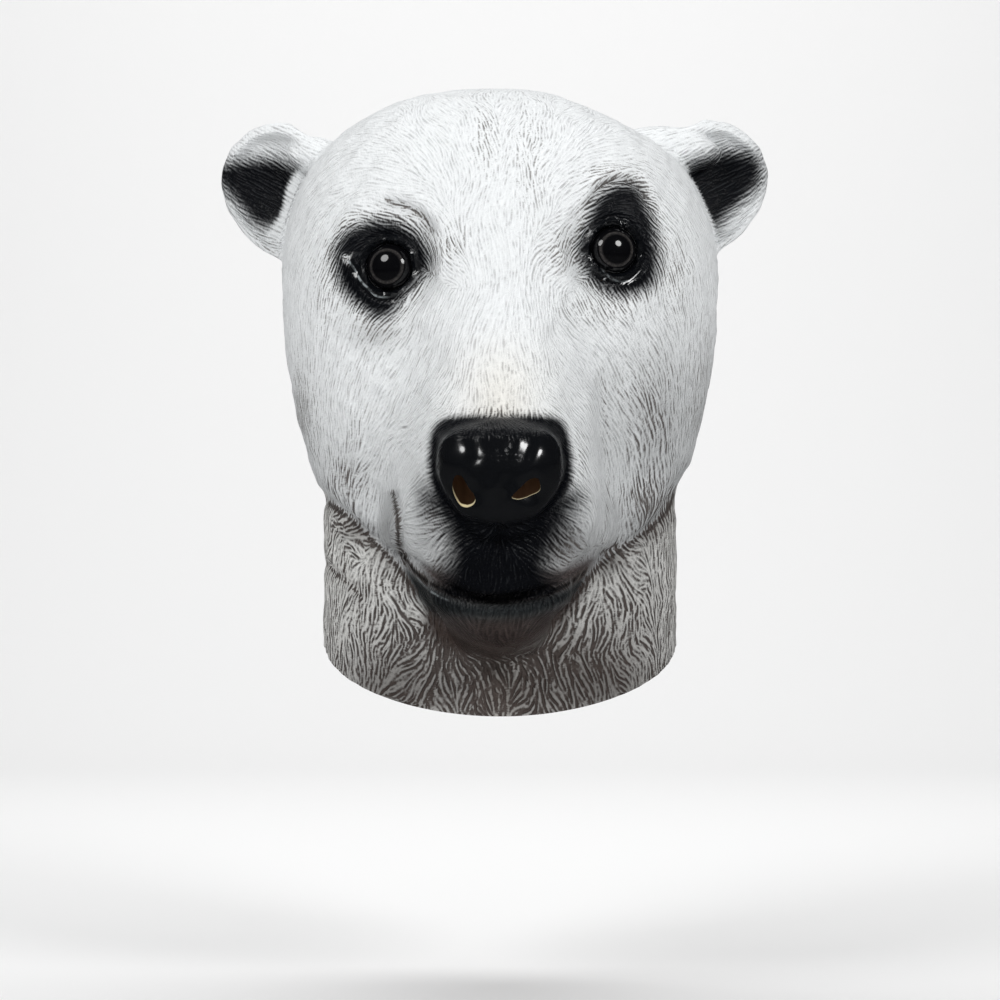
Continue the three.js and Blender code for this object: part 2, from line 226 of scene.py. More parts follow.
def form_points(angle, z):
    radius = form_radius(angle, z)
    across = radius * np.sin(angle) - lean_at(z)
    return np.stack([across, -radius * np.cos(angle), z + 0 * angle], axis=-1)


def hem_level(angle):
    return lowest_hem + hem_rise * (1 - power(np.cos(angle), 1.1))


def face_point(x, z):
    angles = np.linspace(-math.pi / 2, math.pi / 2, 4001)
    points = form_points(angles, np.full_like(angles, z))
    return Vector(points[np.argmin(np.abs(points[:, 0] - x))])


def eye_frame(across, down, yaw, pitch):
    tilt = Matrix.Rotation(math.radians(-pitch), 4, "X")
    turn = Matrix.Rotation(math.radians(yaw), 4, "Z") @ tilt
    out = turn.to_3x3() @ Vector((0, -1, 0))
    face = face_point(head_width / 2 * across, crown_top - face_length * down)
    return Matrix.Translation(face + out * -socket_depth) @ turn


eye_frames = {name: eye_frame(**place) for name, place in eye_places.items()}


# Coordinates of points in an eye's frame: across, depth behind the seat, up.
def in_frame(matrix, points):
    inverse = np.array(matrix.inverted())
    return points @ inverse[:3, :3].T + inverse[:3, 3]


def out_of_frame(matrix, local):
    forward = np.array(matrix)
    return local @ forward[:3, :3].T + forward[:3, 3]


def press_sockets(points):
    for matrix in eye_frames.values():
        local = in_frame(matrix, points)
        from_middle = np.hypot(local[..., 0], local[..., 2])
        press = 1 - smooth(socket_flat / 2, socket_flat / 2 + socket_fade, from_middle)
        press = np.where(local[..., 1] > head_width / 4, 0, press)
        local[..., 1] *= 1 - press
        points = out_of_frame(matrix, local)
    return points


# Rings of points from the hem up to the crown, close together at the face. Their heights follow
# the length of the outlines at three angles, and a few rounds of evening keep the columns smooth.
def skin_rings(columns, rows, crowding):
    fine = 1500
    heights = crown_top - np.linspace(0, 1, fine + 1) * mask_height
    along = np.zeros(fine + 1)
    for angle in (0, 20, 60):
        radius = form_radius(np.full(fine + 1, math.radians(angle)), heights)
        radius[0] = 0
        along[1:] += np.cumsum(np.hypot(np.diff(radius), np.diff(heights)))
    evenly = np.linspace(0, along[-1], rows + 1)
    shares = np.interp(evenly, along, np.linspace(0, 1, fine + 1))[:0:-1]
    steps = np.linspace(-math.pi, math.pi, 721)
    grid_angle, grid_share = np.meshgrid(steps, shares)
    ring = form_points(grid_angle, crown_top - grid_share * (crown_top - hem_level(grid_angle)))
    step = np.linalg.norm(np.diff(ring, axis=1), axis=2)
    middle = (steps[1:] + steps[:-1]) / 2
    step *= 1 + (crowding - 1) * (0.5 + 0.5 * np.cos(middle))
    length = np.concatenate([np.zeros((rows, 1)), np.cumsum(step, axis=1)], axis=1)
    wanted = np.linspace(0, 1, columns + 1)
    angles = np.array([np.interp(wanted * row[-1], row, steps) for row in length])
    for _ in range(int(8 * (rows / 41) ** 2)):
        padded = np.concatenate([angles[:1], angles, angles[-1:]])
        angles = (padded[:-2] + 2 * angles + padded[2:]) / 4
    levels = crown_top - shares[:, None] * (crown_top - hem_level(angles))
    return press_sockets(form_points(angles, levels))


# The relief of the face
# Lids, lips, folds and the nose pad are modelled in clay before the plaster mould is taken, a few
# millimetres proud of the head. A place is across and height, in millimetres, where the line of
# sight of a viewer two metres away, level with the middle of the mask, crosses the axis plane.
view_distance = 2.0
view_height = -223.5 * mm


def seen_from_front(points):
    grow = view_distance / (view_distance + points[..., 1])
    height = view_height + (points[..., 2] - view_height) * grow
    return np.stack([points[..., 0] * grow, height], axis=-1) / mm


def curve_through(places, closed=False):
    places = np.array(places, float)
    if closed:
        padded = np.concatenate([places[-1:], places, places[:2]])
    else:
        padded = np.concatenate([places[:1], places, places[-1:]])
    a, b, c, d = padded[:-3], padded[1:-2], padded[2:-1], padded[3:]
    t = np.linspace(0, 1, 6)[:-1, None, None]
    curve = b + (c - a) / 2 * t + (a - 2.5 * b + 2 * c - d / 2) * t**2
    curve = (curve + (1.5 * b - 1.5 * c + (d - a) / 2) * t**3).transpose(1, 0, 2).reshape(-1, 2)
    return curve if closed else np.concatenate([curve, places[-1:]])


# Distance from places to a path, negative to its right, and how far along it the nearest point
# is, from 0 to 1.
def near_path(places, path):
    curve = curve_through(path)
    best = np.full(places.shape[:-1], np.inf)
    share = np.zeros(places.shape[:-1])
    for k, (start, end) in enumerate(zip(curve[:-1], curve[1:])):
        way, offset = end - start, places - start
        along = np.clip(offset @ way / max(way @ way, 1e-9), 0, 1)
        distance = np.linalg.norm(offset - along[..., None] * way, axis=-1)
        distance = np.where(way[0] * offset[..., 1] < way[1] * offset[..., 0], -distance, distance)
        closer = np.abs(distance) < np.abs(best)
        best = np.where(closer, distance, best)
        share = np.where(closer, (k + along) / (len(curve) - 1), share)
    return best, share


# How far inside a closed outline places are, negative outside.
def depth_inside(places, outline):
    curve = curve_through(outline, closed=True)
    curve = np.concatenate([curve, curve[:1]])
    best = np.full(places.shape[:-1], np.inf)
    inside = np.zeros(places.shape[:-1], bool)
    x, y = places[..., 0], places[..., 1]
    for start, end in zip(curve[:-1], curve[1:]):
        side = end - start
        along = np.clip((places - start) @ side / max(side @ side, 1e-9), 0, 1)
        best = np.minimum(best, np.linalg.norm(places - start - along[..., None] * side, axis=-1))
        if start[1] != end[1]:
            crosses = (start[1] > y) != (end[1] > y)
            inside ^= crosses & (x < start[0] + (y - start[1]) / side[1] * side[0])
    return np.where(inside, best, -best)


def bump_around(distance, width):
    return np.exp(-((distance / width) ** 2))


# Creases and ridges. rise: height in millimetres, negative for a crease. width: of each side.
# shade: how dark the crease is painted, for the paint wiped into it and for its painted shade.
# family: painted lines of one family lie well apart.
face_lines = table("line rise width shade family path", [
    ("mouth", -4.0, 2.8, 1.0, 0, [
        (-56, -246), (-54, -253), (-49, -260.5), (-42, -267), (-34, -271.5), (-20, -276.5),
        (-2, -278), (16, -276.5), (34, -271.5), (44, -265), (50, -259),
    ]),
    ("upper lip", 1.8, 3.2, 0, None, [
        (-46, -258), (-34, -265.5), (-20, -271), (-2, -273), (16, -271), (34, -265.5),
        (46, -257),
    ]),
    ("lower lip", 2.6, 5.0, 0, None, [
        (-44, -273), (-34, -279), (-20, -284), (-2, -286), (16, -284), (34, -279), (42, -272),
    ]),
    ("muzzle fold", -4.5, 2.2, 0.72, 1, [
        (-59, -218), (-58, -224), (-56.5, -232), (-56, -243), (-56, -250),
    ]),
    ("muzzle fold edge", 2.2, 5.0, 0, None, [
        (-50, -213), (-49, -228), (-48, -243), (-47, -255),
    ]),
    ("right jaw crease", -3.4, 3.2, 0.6, 2, [
        (-112, -209), (-98, -222), (-83, -234), (-71, -245.5), (-59, -257.5), (-52, -266.5),
        (-44, -278.5),
    ]),
    ("right jaw pad", 1.6, 6.0, 0, None, [(-100, -208), (-86, -220), (-74, -232), (-66, -242)]),
    ("right neck crease", -1.6, 2.6, 0.45, 1, [
        (-98, -256), (-90, -264), (-81, -272), (-74, -280),
    ]),
    ("left jaw crease", -3.4, 3.4, 0.6, 2, [
        (110, -202), (98, -216), (92, -229), (82, -240), (71, -248), (61, -255), (52, -263),
        (44, -274), (34, -287), (21, -297),
    ]),
    ("left jaw pad", 1.6, 6.0, 0, None, [(98, -204), (88, -218), (78, -230), (68, -240)]),
    ("left muzzle fold", -2.4, 4.5, 0.25, 1, [
        (56, -150), (58, -175), (59, -205), (59, -225), (57, -245), (52, -257),
    ]),
    ("left muzzle pad", 1.6, 6.0, 0, None, [(46, -160), (49, -190), (49, -220), (46, -245)]),
    ("groove of the lip", -2.2, 3.2, 0, None, [(0, -218), (0, -230), (-1, -246), (-1, -262)]),
    ("right nose groove", -1.0, 3.0, 0, None, [(-17, -184), (-14, -196), (-13, -204)]),
    ("left nose groove", -1.0, 3.0, 0, None, [(18, -184), (15, -196), (13, -204)]),
    ("left brow crease", -1.8, 1.6, 0.45, 1, [
        (47, -63), (53, -53), (60, -48.5), (68, -47), (77, -52), (81, -60),
    ]),
    ("left brow", 1.4, 3.0, 0, None, [
        (44, -60), (51, -49), (61, -43), (72, -42), (81, -49), (88, -62),
    ]),
    ("right brow crease", -1.4, 1.8, 0.6, 1, [(-64, -59), (-52, -62), (-42, -68), (-36, -78)]),
    ("right brow", 1.4, 3.5, 0, None, [
        (-84, -62), (-68, -55), (-50, -56), (-36, -66), (-28, -80),
    ]),
    ("forehead furrow", -1.5, 6.0, 0, None, [(1, -2), (0, -25), (0, -55), (0, -85)]),
])

nose_outline = [
    (-36.3, -207), (-35.2, -196), (-30.3, -186.1), (-22, -182.8), (0, -181.7), (22, -182.8),
    (30.3, -186.1), (34.7, -196), (35.8, -207), (33, -218), (26.4, -227.9), (16.5, -234.5),
    (0, -238), (-16.5, -234.5), (-26.4, -227.9), (-33, -218),
]
nostril_pits = [
    {"place": (-21, -218), "radius": 9, "depth": 2.6},
    {"place": (17, -217), "radius": 9, "depth": 2.6},
]
# The wet rims of the lower lids, a little outside the eyes, with painted highlights along them.
wet_rims = [
    [(-84.2, -90.4), (-79.8, -97), (-76.5, -103), (-72, -107.5), (-67.7, -111.4), (-60, -112)],
    [(53, -89), (56, -96), (61, -101.5), (68, -103.5), (75, -101)],
]
# The wet edge of the lower lip, where a highlight is painted.
wet_lip = [(-46, -265.5), (-43, -269.5), (-38, -273.8), (-32, -277.3), (-27, -279.3)]
# The crown is a little flatter on its left side.
crown_flat = {"place": (66, 0, -4), "radius": 34, "depth": 5.5}

# Small uneven swells of a hand-modelled surface: how often each one rises across, in depth and
# up within the size, and where it starts.
swells = [
    (0.31, 0.12, -0.21, 0.3), (-0.18, 0.29, 0.14, 1.9),
    (0.09, -0.22, 0.33, 4.1), (0.41, 0.2, 0.08, 2.6),
]


def uneven(points, size):
    places = points / (size * mm)
    waves = (np.sin(2 * math.pi * (places @ np.array(swell[:3])) + swell[3]) for swell in swells)
    return sum(waves) / 4


# Rings around each eye, in millimetres. ring: distance from its middle.
lid_forms = {
    "lid": {"rise": 4.6, "ring": 14.6, "width": 1.6},
    "fold": {"rise": 1.8, "ring": 20.5, "width": 1.9},
    "pouch": {"rise": 1.9, "ring": 20.0, "width": 1.5},
    "corner": {"rise": -1.6, "ring": 17.5, "width": 3.0},
}


def lid_rise(points):
    rise = np.zeros(points.shape[:-1])
    for matrix in eye_frames.values():
        local = in_frame(matrix, points) / mm
        across, height = local[..., 0], local[..., 2]
        out = np.hypot(across, height)
        upper = height / np.maximum(out, 1e-6)
        near = np.where(np.abs(local[..., 1]) < 25, 1, 0)
        strength = {
            "lid": 0.45 + 0.55 * np.abs(upper),
            "fold": smooth(-0.3, 0.5, upper),
            "pouch": smooth(0.1, -0.4, upper),
            "corner": bump_around(height + 2, 2.2),
        }
        total = 0
        for part, form in lid_forms.items():
            ring = form["rise"] * bump_around(out - form["ring"], form["width"])
            total = total + ring * strength[part]
        rise += near * total
    return rise


# The nose pad stands out of the muzzle, with a gutter around its lower half.
pad_rise, pad_edge = 1.6, (-0.5, 4.5)
gutter_depth, gutter_width, gutter_levels = 1.2, 1.6, (-188, -196)
rim_rise, rim_width = 1.6, 2.6


def relief(points, normals):
    places = seen_from_front(points)
    rise = np.zeros(points.shape[:-1])
    for line in face_lines:
        distance, share = near_path(places, line["path"])
        ends = smooth(0, 0.15, share) * smooth(1, 0.85, share)
        rise += line["rise"] * bump_around(distance, line["width"]) * (0.25 + 0.75 * ends)
    inside = depth_inside(places, nose_outline)
    gutter = gutter_depth * bump_around(inside + 2, gutter_width)
    rise += pad_rise * smooth(*pad_edge, inside) - gutter * smooth(*gutter_levels, places[..., 1])
    for pit in nostril_pits:
        distance = np.linalg.norm(places - np.array(pit["place"]), axis=-1)
        rise -= pit["depth"] * bump_around(distance, pit["radius"])
    for rim in wet_rims:
        rise += rim_rise * bump_around(near_path(places, rim)[0], rim_width)
    rise = rise * smooth(-0.3, 0.1, -normals[..., 1]) + lid_rise(points)
    from_flat = np.linalg.norm(points / mm - np.array(crown_flat["place"]), axis=-1)
    rise -= crown_flat["depth"] * bump_around(from_flat, crown_flat["radius"])
    return (rise + 0.7 * uneven(points, 9) + 0.5 * uneven(points[..., [1, 2, 0]], 4)) * mm


def ring_normals(rings):
    across = np.empty_like(rings)
    across[:, 1:-1] = rings[:, 2:] - rings[:, :-2]
    across[:, 0] = across[:, -1] = rings[:, 1] - rings[:, -2]
    up = np.gradient(rings, axis=0)
    normals = np.cross(across, up)
    return normals / np.maximum(np.linalg.norm(normals, axis=-1, keepdims=True), 1e-12)


def evened(values, times):
    for _ in range(times):
        padded = np.concatenate([values[:1], values, values[-1:]])
        values = (padded[:-2] + 2 * values + padded[2:]) / 4
        turned = np.concatenate([values[:, -2:-1], values, values[:, 1:2]], axis=1)
        values = (turned[:, :-2] + 2 * values + turned[:, 2:]) / 4
    return values / np.maximum(np.linalg.norm(values, axis=-1, keepdims=True), 1e-12)


def sculpted_rings(columns, rows, crowding):
    rings = skin_rings(columns, rows, crowding)
    normals = evened(ring_normals(rings), 2)
    rise = relief(rings, normals)
    rise *= smooth(0, 6 * mm, crown_top - rings[..., 2])
    return rings + normals * rise[..., None]


def shape_to(body, points):
    body.data.vertices.foreach_set("co", points.astype(np.float32).reshape(-1))
    body.data.update()


def face_outwards():
    bpy.ops.object.mode_set(mode="EDIT")
    bpy.ops.mesh.select_all(action="SELECT")
    bpy.ops.mesh.normals_make_consistent(inside=False)
    bpy.ops.object.mode_set(mode="OBJECT")


# A bell-shaped body from rings of points, hem first, closed below.
def bell_from(name, rings, top):
    rows, width = rings.shape[:2]
    bpy.ops.object.select_all(action="DESELECT")
    bpy.ops.mesh.primitive_grid_add(x_subdivisions=width - 1, y_subdivisions=rows, size=1)
    bell = bpy.context.object
    bell.name = bell.data.name = name
    tops = np.tile(np.array(top), (1, width, 1))
    shape_to(bell, np.concatenate([rings, tops]))
    bpy.ops.object.mode_set(mode="EDIT")
    bpy.ops.mesh.select_mode(type="EDGE")
    bpy.ops.mesh.select_all(action="SELECT")
    bpy.ops.mesh.remove_doubles(threshold=1e-6)
    bpy.ops.mesh.select_all(action="DESELECT")
    bpy.ops.mesh.select_non_manifold()
    bpy.ops.mesh.edge_face_add()
    bpy.ops.mesh.poke()
    face_outwards()
    return bell


skin_columns, skin_rows = 270, 262
lining_columns, lining_rows = 120, 112
front_crowding = 3.2

top_point = (-crown_lean, 0, crown_top)
skin = sculpted_rings(skin_columns, skin_rows, front_crowding)
mask_skin = bell_from("mask_skin", skin, top_point)

# The inside follows the outside, a wall further in, and runs straighter behind the mouth.
behind_mouth = {"extra": 2.6, "width": 9, "reach": 60 * mm}
lining = sculpted_rings(lining_columns, lining_rows, front_crowding)
inward = -evened(ring_normals(lining), 4)
from_mouth = near_path(seen_from_front(lining), face_lines[0]["path"])[0]
by_mouth = bump_around(from_mouth, behind_mouth["width"])
by_mouth = by_mouth * (lining[..., 1] < -behind_mouth["reach"])
inset = wall + (0.4 + behind_mouth["extra"] * by_mouth) * mm
lining = lining + inward * inset[..., None]
below = lining[:1] + np.array((0, 0, -hem_rise))
top_inside = (-crown_lean, 0, crown_top - wall)
hollow = bell_from("hollow", np.concatenate([below, lining]), top_inside)

# The ears
# Two rounded, cupped ears, cast in one with the head. They stand out at its sides, open to the
# front, with thick fur moulded over their roots.
ear_width = 62 * mm
ear_height = 80 * mm
ear_thickness = 9 * mm
ear_cup = 15 * mm
ear_stand = 152 * mm
ear_taper = 0.5
cup_lean = 8 * mm
ear_places = {
    "right_ear": {"side": -1, "stand": 0.985, "down": 0.188, "yaw": -24, "roll": -22},
    "left_ear": {"side": 1, "stand": 0.945, "down": 0.183, "yaw": 20, "roll": 22},
}


# Half of an ear's section, from the middle of the cup over the rim to the middle of the back:
# radius in a share of the ear's own, and depth.
def ear_profile(share):
    rim = ear_thickness / 2
    outer = 1 - rim / (ear_width / 2)
    inner_turn = np.radians(np.linspace(0, 68, 12))
    rim_turn = np.radians(np.linspace(90, -90, 12))
    back_turn = np.radians(np.linspace(81, 0, 12))
    radius = np.concatenate([
        outer * np.sin(inner_turn),
        outer + (1 - outer) * np.cos(rim_turn),
        outer * np.sin(back_turn),
    ])
    depth = np.concatenate([
        ear_cup * np.cos(inner_turn) - rim,
        -rim * np.sin(rim_turn),
        ear_cup * np.cos(back_turn) + rim,
    ])
    step = np.hypot(np.diff(radius) * ear_width / 2, np.diff(depth))
    along = np.concatenate([[0], np.cumsum(step)]) / step.sum()
    return np.interp(share, along, radius), np.interp(share, along, depth)


def read_vectors(parts, what):
    values = np.empty(len(parts) * 3, np.float32)
    parts.foreach_get(what, values)
    return values.reshape(-1, 3).astype(float)


ears = []
for name, place in ear_places.items():
    bpy.ops.object.select_all(action="DESELECT")
    bpy.ops.mesh.primitive_uv_sphere_add(segments=72, ring_count=60, radius=1)
    ear = bpy.context.object
    ear.name = ear.data.name = name
    ball = read_vectors(ear.data.vertices, "co")
    turn = np.arctan2(ball[:, 1], ball[:, 0])
    radius, depth = ear_profile(np.arccos(np.clip(ball[:, 2], -1, 1)) / math.pi)
    height = radius * np.sin(turn) * ear_height / 2
    across = radius * np.cos(turn) * ear_width / 2 * (1 + ear_taper * height / ear_height)
    inward = np.clip(depth / ear_cup, 0, 1) * (ball[:, 2] > 0) * cup_lean
    across = across - place["side"] * inward
    tuft = 1 + 0.006 * np.sin(13 * turn) + 0.005 * np.sin(19 * turn + 1)
    shape = np.stack([across * tuft, depth, height * tuft], axis=-1)
    yaw, roll = math.radians(place["yaw"]), math.radians(place["roll"])
    middle = place["side"] * (ear_stand * place["stand"] - ear_width / 2 * math.cos(yaw))
    seat = Matrix.Translation((middle, 0, crown_top - face_length * place["down"]))
    stand = seat @ Matrix.Rotation(yaw, 4, "Z") @ Matrix.Rotation(roll, 4, "Y")
    shape_to(ear, out_of_frame(stand, shape))
    face_outwards()
    ears.append(ear)


# Thick fur over the root of each ear. half: half of its width, depth and height.
ear_roots = [
    {"side": -1, "place": (100, 0, -35), "half": (18, 12, 11), "tilt": -14},
    {"side": 1, "place": (92, 0, -31), "half": (30, 14, 13), "tilt": 4},
]
for root in ear_roots:
    bpy.ops.object.select_all(action="DESELECT")
    bpy.ops.mesh.primitive_uv_sphere_add(segments=40, ring_count=24, radius=1)
    mound = bpy.context.object
    mound.name = mound.data.name = "ear_root"
    across, back, up = root["place"]
    seat = Matrix.Translation(Vector((root["side"] * across, back, up)) * mm)
    turned = seat @ Matrix.Rotation(math.radians(root["side"] * root["tilt"]), 4, "Y")
    mound.data.transform(turned @ Matrix.Diagonal((*(Vector(root["half"]) * mm), 1)))
    ears.append(mound)


# Joins two closed bodies, or cuts one from the other. The cut keeps the tool's material.
def combine(body, tool, operation):
    bpy.ops.object.select_all(action="DESELECT")
    body.select_set(True)
    bpy.context.view_layer.objects.active = body
    joint = body.modifiers.new("joint", "BOOLEAN")
    joint.operation = operation
    joint.object = tool
    joint.solver = "MANIFOLD"
    joint.material_mode = "TRANSFER"
    bpy.ops.object.modifier_apply(modifier=joint.name)
    bpy.data.objects.remove(tool)


painted_fur = bpy.data.materials.new("painted_fur")
raw_latex = bpy.data.materials.new("raw_latex")
cut_latex = bpy.data.materials.new("cut_latex")
for fur_body in (mask_skin, *ears):
    fur_body.data.materials.append(painted_fur)
hollow.data.materials.append(raw_latex)

for ear in ears:
    combine(mask_skin, ear, "UNION")

# The ears run out softly into the head: the sharp hollow edges at their roots are evened out.
root_crease = math.radians(22)
bpy.ops.object.mode_set(mode="EDIT")
bpy.ops.mesh.select_all(action="DESELECT")
cage = bmesh.from_edit_mesh(mask_skin.data)
for edge in cage.edges:
    middle = (edge.verts[0].co + edge.verts[1].co) / 2
    by_ear = abs(middle.x) > 75 * mm and abs(middle.y) < 60 * mm and middle.z > -130 * mm
    hollow_edge = by_ear and edge.is_manifold and not edge.is_convex
    if hollow_edge and edge.calc_face_angle() > root_crease:
        edge.select = True
        for corner in edge.verts:
            corner.select = True
bmesh.update_edit_mesh(mask_skin.data)
for _ in range(3):
    bpy.ops.mesh.select_more()
bpy.ops.mesh.vertices_smooth(factor=0.5, repeat=14)
bpy.ops.object.mode_set(mode="OBJECT")

combine(mask_skin, hollow, "DIFFERENCE")

# The holes for the eyes.
eye_hole = 25 * mm
punch_length = 36 * mm
for matrix in eye_frames.values():
    bpy.ops.object.select_all(action="DESELECT")
    bpy.ops.mesh.primitive_cylinder_add(vertices=72, radius=eye_hole / 2, depth=punch_length)
    plug = bpy.context.object
    plug.data.transform(matrix @ Matrix.Rotation(math.radians(90), 4, "X"))
    plug.data.materials.append(painted_fur)
    combine(mask_skin, plug, "DIFFERENCE")

# The nostrils
# Two slits cut with a knife after casting, upwards into the nose pad, so that their lower edges
# show the cream colour of the latex. slope: how steeply the knife runs up.
nostrils = table("slope outline", [
    (0.42, [
        (-24.8, -210.9), (-20.9, -210.3), (-17.6, -215.8), (-13.8, -220.5), (-14.3, -224.6),
        (-18.7, -227.4), (-22.6, -226.3), (-26.1, -219.4),
    ]),
    (0.12, [
        (6.6, -221.3), (12.1, -215.8), (16.5, -212), (21.1, -212), (22, -218.3), (17, -221.1),
        (12.1, -222.8), (8.6, -222.9),
    ]),
])

knife_reach = 14 * mm
for nostril in nostrils:
    curve = curve_through(nostril["outline"], closed=True) * mm
    nose_front = face_point(curve[:, 0].mean(), curve[:, 1].mean()).y
    shrink = (view_distance + nose_front) / view_distance
    bpy.ops.object.select_all(action="DESELECT")
    bpy.ops.mesh.primitive_circle_add(vertices=len(curve), fill_type="NGON")
    knife = bpy.context.object
    heights = view_height + (curve[:, 1] - view_height) * shrink
    rise = knife_reach * nostril["slope"]
    for vertex, across, height in zip(knife.data.vertices, curve[:, 0] * shrink, heights):
        vertex.co = (across, nose_front - knife_reach, height - rise)
    bpy.ops.object.mode_set(mode="EDIT")
    bpy.ops.mesh.select_all(action="SELECT")
    through = {"value": (0, 2 * knife_reach, 2 * rise)}
    bpy.ops.mesh.extrude_region_move(TRANSFORM_OT_translate=through)
    face_outwards()
    knife.data.materials.append(cut_latex)
    combine(mask_skin, knife, "DIFFERENCE")

bpy.ops.object.select_all(action="DESELECT")
mask_skin.select_set(True)
bpy.context.view_layer.objects.active = mask_skin
bpy.ops.object.shade_smooth_by_angle(angle=math.radians(50))

# The hair and the paint
# The fur is modelled strand by strand in the clay. The cast mask is brushed with white latex
# paint, darker paint is wiped into its grooves, and the black patches are sprayed on. Painted
# shade is laid into the grooves and creases, on the sides and under the chin, and painted
# highlights onto the wet rims. All of it is worked out here point by point, and stored on the mesh
# for the material.
skin_mesh = mask_skin.data
points = read_vectors(skin_mesh.vertices, "co")
normals = read_vectors(skin_mesh.vertex_normals, "vector")
places = seen_from_front(points)
front = smooth(0.0, 0.3, -normals[:, 1])
facing = smooth(-0.2, 0.05, -normals[:, 1]) * (points[:, 1] < 30 * mm)

lean = lean_at(points[:, 2])
around = np.arctan2(points[:, 0] + lean, -points[:, 1])
from_axis = np.hypot(points[:, 0] + lean, points[:, 1])
beyond_head = from_axis - form_radius(around, points[:, 2])
by_ears = (np.abs(points[:, 0]) > 80 * mm) & (points[:, 2] > -135 * mm)
on_ear = smooth(1.5 * mm, 4 * mm, beyond_head) * by_ears

# How the sculpted hair lies, seen from the front. angle: of the strokes, 90 for upright,
# counted from the viewer's right over the top. spread: how far around the place it holds.
hair_lay = table("place angle spread", [
    ((0, -9), 90, 20),
    ((-33, -20), 112, 20),
    ((-66, -36), 150, 20),
    ((33, -20), 68, 20),
    ((66, -36), 30, 20),
    ((-94, -53), 15, 18),
    ((94, -53), 165, 18),
    ((-62, -61), 160, 12),
    ((-38, -80), 135, 12),
    ((-99, -75), 42, 14),
    ((-99, -91), 42, 12),
    ((-99, -113), 62, 16),
    ((-62, -130), 52, 16),
    ((-38, -113), 50, 12),
    ((-27, -97), 150, 9),
    ((62, -47), 22, 12),
    ((94, -75), 138, 14),
    ((94, -100), 128, 14),
    ((66, -124), 130, 14),
    ((33, -86), 28, 11),
    ((0, -60), 90, 16),
    ((0, -95), 90, 16),
    ((0, -130), 86, 18),
    ((0, -168), 90, 16),
    ((-110, -141), 78, 16),
    ((-82, -152), 58, 18),
    ((-55, -149), 46, 14),
    ((-80, -212), 54, 20),
    ((-100, -190), 72, 18),
    ((72, -152), 130, 18),
    ((78, -188), 122, 16),
    ((108, -157), 112, 18),
    ((80, -221), 115, 20),
    ((44, -174), 165, 12),
    ((46, -135), 155, 10),
    ((45, -215), 166, 12),
    ((-44, -196), 8, 14),
    ((-46, -235), 10, 10),
    ((33, -256), 148, 11),
    ((-33, -254), 40, 9),
    ((0, -284), 90, 14),
    ((0, -300), 90, 12),
    ((-84, -250), 48, 12),
    ((-70, -268), 66, 10),
    ((-50, -285), 96, 12),
    ((-72, -292), 62, 11),
    ((0, -322), 90, 20),
    ((70, -268), 150, 11),
    ((52, -290), 105, 10),
    ((36, -306), 62, 12),
    ((66, -312), 78, 14),
    ((88, -255), 128, 12),
    ((-88, -300), 92, 18),
    ((90, -300), 84, 18),
])
doubled = np.zeros((len(points), 2))
for hair in hair_lay:
    distance = np.linalg.norm(places - np.array(hair["place"]), axis=1)
    near = bump_around(distance, hair["spread"]) + 1e-9
    turn = 2 * math.radians(hair["angle"])
    doubled += near[:, None] * np.array((math.cos(turn), math.sin(turn)))
lay_angle = np.arctan2(doubled[:, 1], doubled[:, 0]) / 2

jaw_edge = np.array([
    (-125, -212), (-98, -222), (-83, -234), (-71, -245), (-59, -257), (-52, -266), (-44, -278),
    (-33, -290), (-19, -300), (0, -306), (21, -297), (34, -287), (44, -274), (52, -263),
    (62, -255), (72, -248), (83, -240), (92, -229), (98, -216), (125, -205),
])
below_jaw = np.interp(places[:, 0], jaw_edge[:, 0], jaw_edge[:, 1]) - places[:, 1]
at_back = points[:, 1] >= 0
on_neck = np.where(at_back, smooth(-190 * mm, -250 * mm, points[:, 2]), smooth(-5, 3, below_jaw))
curls = [(1.0, 24), (0.9, 11), (0.5, 6)]
lay_angle += on_neck * sum(turn * uneven(points, size) for turn, size in curls)
lay_angle += 0.3 * uneven(points, 15) + 0.15 * uneven(points, 7)


def stacked(*parts):
    return np.stack([part + np.zeros(len(points)) for part in parts], axis=1)


# A lie of the hair as twice its angle from the horizontal in the surface, so that a half turn is
# no turn: cosine and sine.
def doubled_lay(directions):
    level = stacked(-normals[:, 1], normals[:, 0], 0)
    level /= np.maximum(np.linalg.norm(level, axis=1, keepdims=True), 1e-6)
    upward = np.cross(normals, level)
    turn = 2 * np.arctan2((directions * upward).sum(axis=1), (directions * level).sum(axis=1))
    return stacked(np.cos(turn), np.sin(turn), 0)


def blended(under, over, share):
    return under * (1 - share)[:, None] + over * share[:, None]


front_lay = doubled_lay(stacked(np.cos(lay_angle), 0, np.sin(lay_angle)))
back_slope = smooth(0.10, 0.02, points[:, 1])
side_lay = doubled_lay(stacked(0, 0.55 * back_slope, -0.85))
ear_fall = math.radians(28)
outward = np.sign(places[:, 0])
ear_lay = doubled_lay(stacked(outward * math.cos(ear_fall), 0, math.sin(ear_fall)))
lay = blended(blended(side_lay, front_lay, front), ear_lay, on_ear)

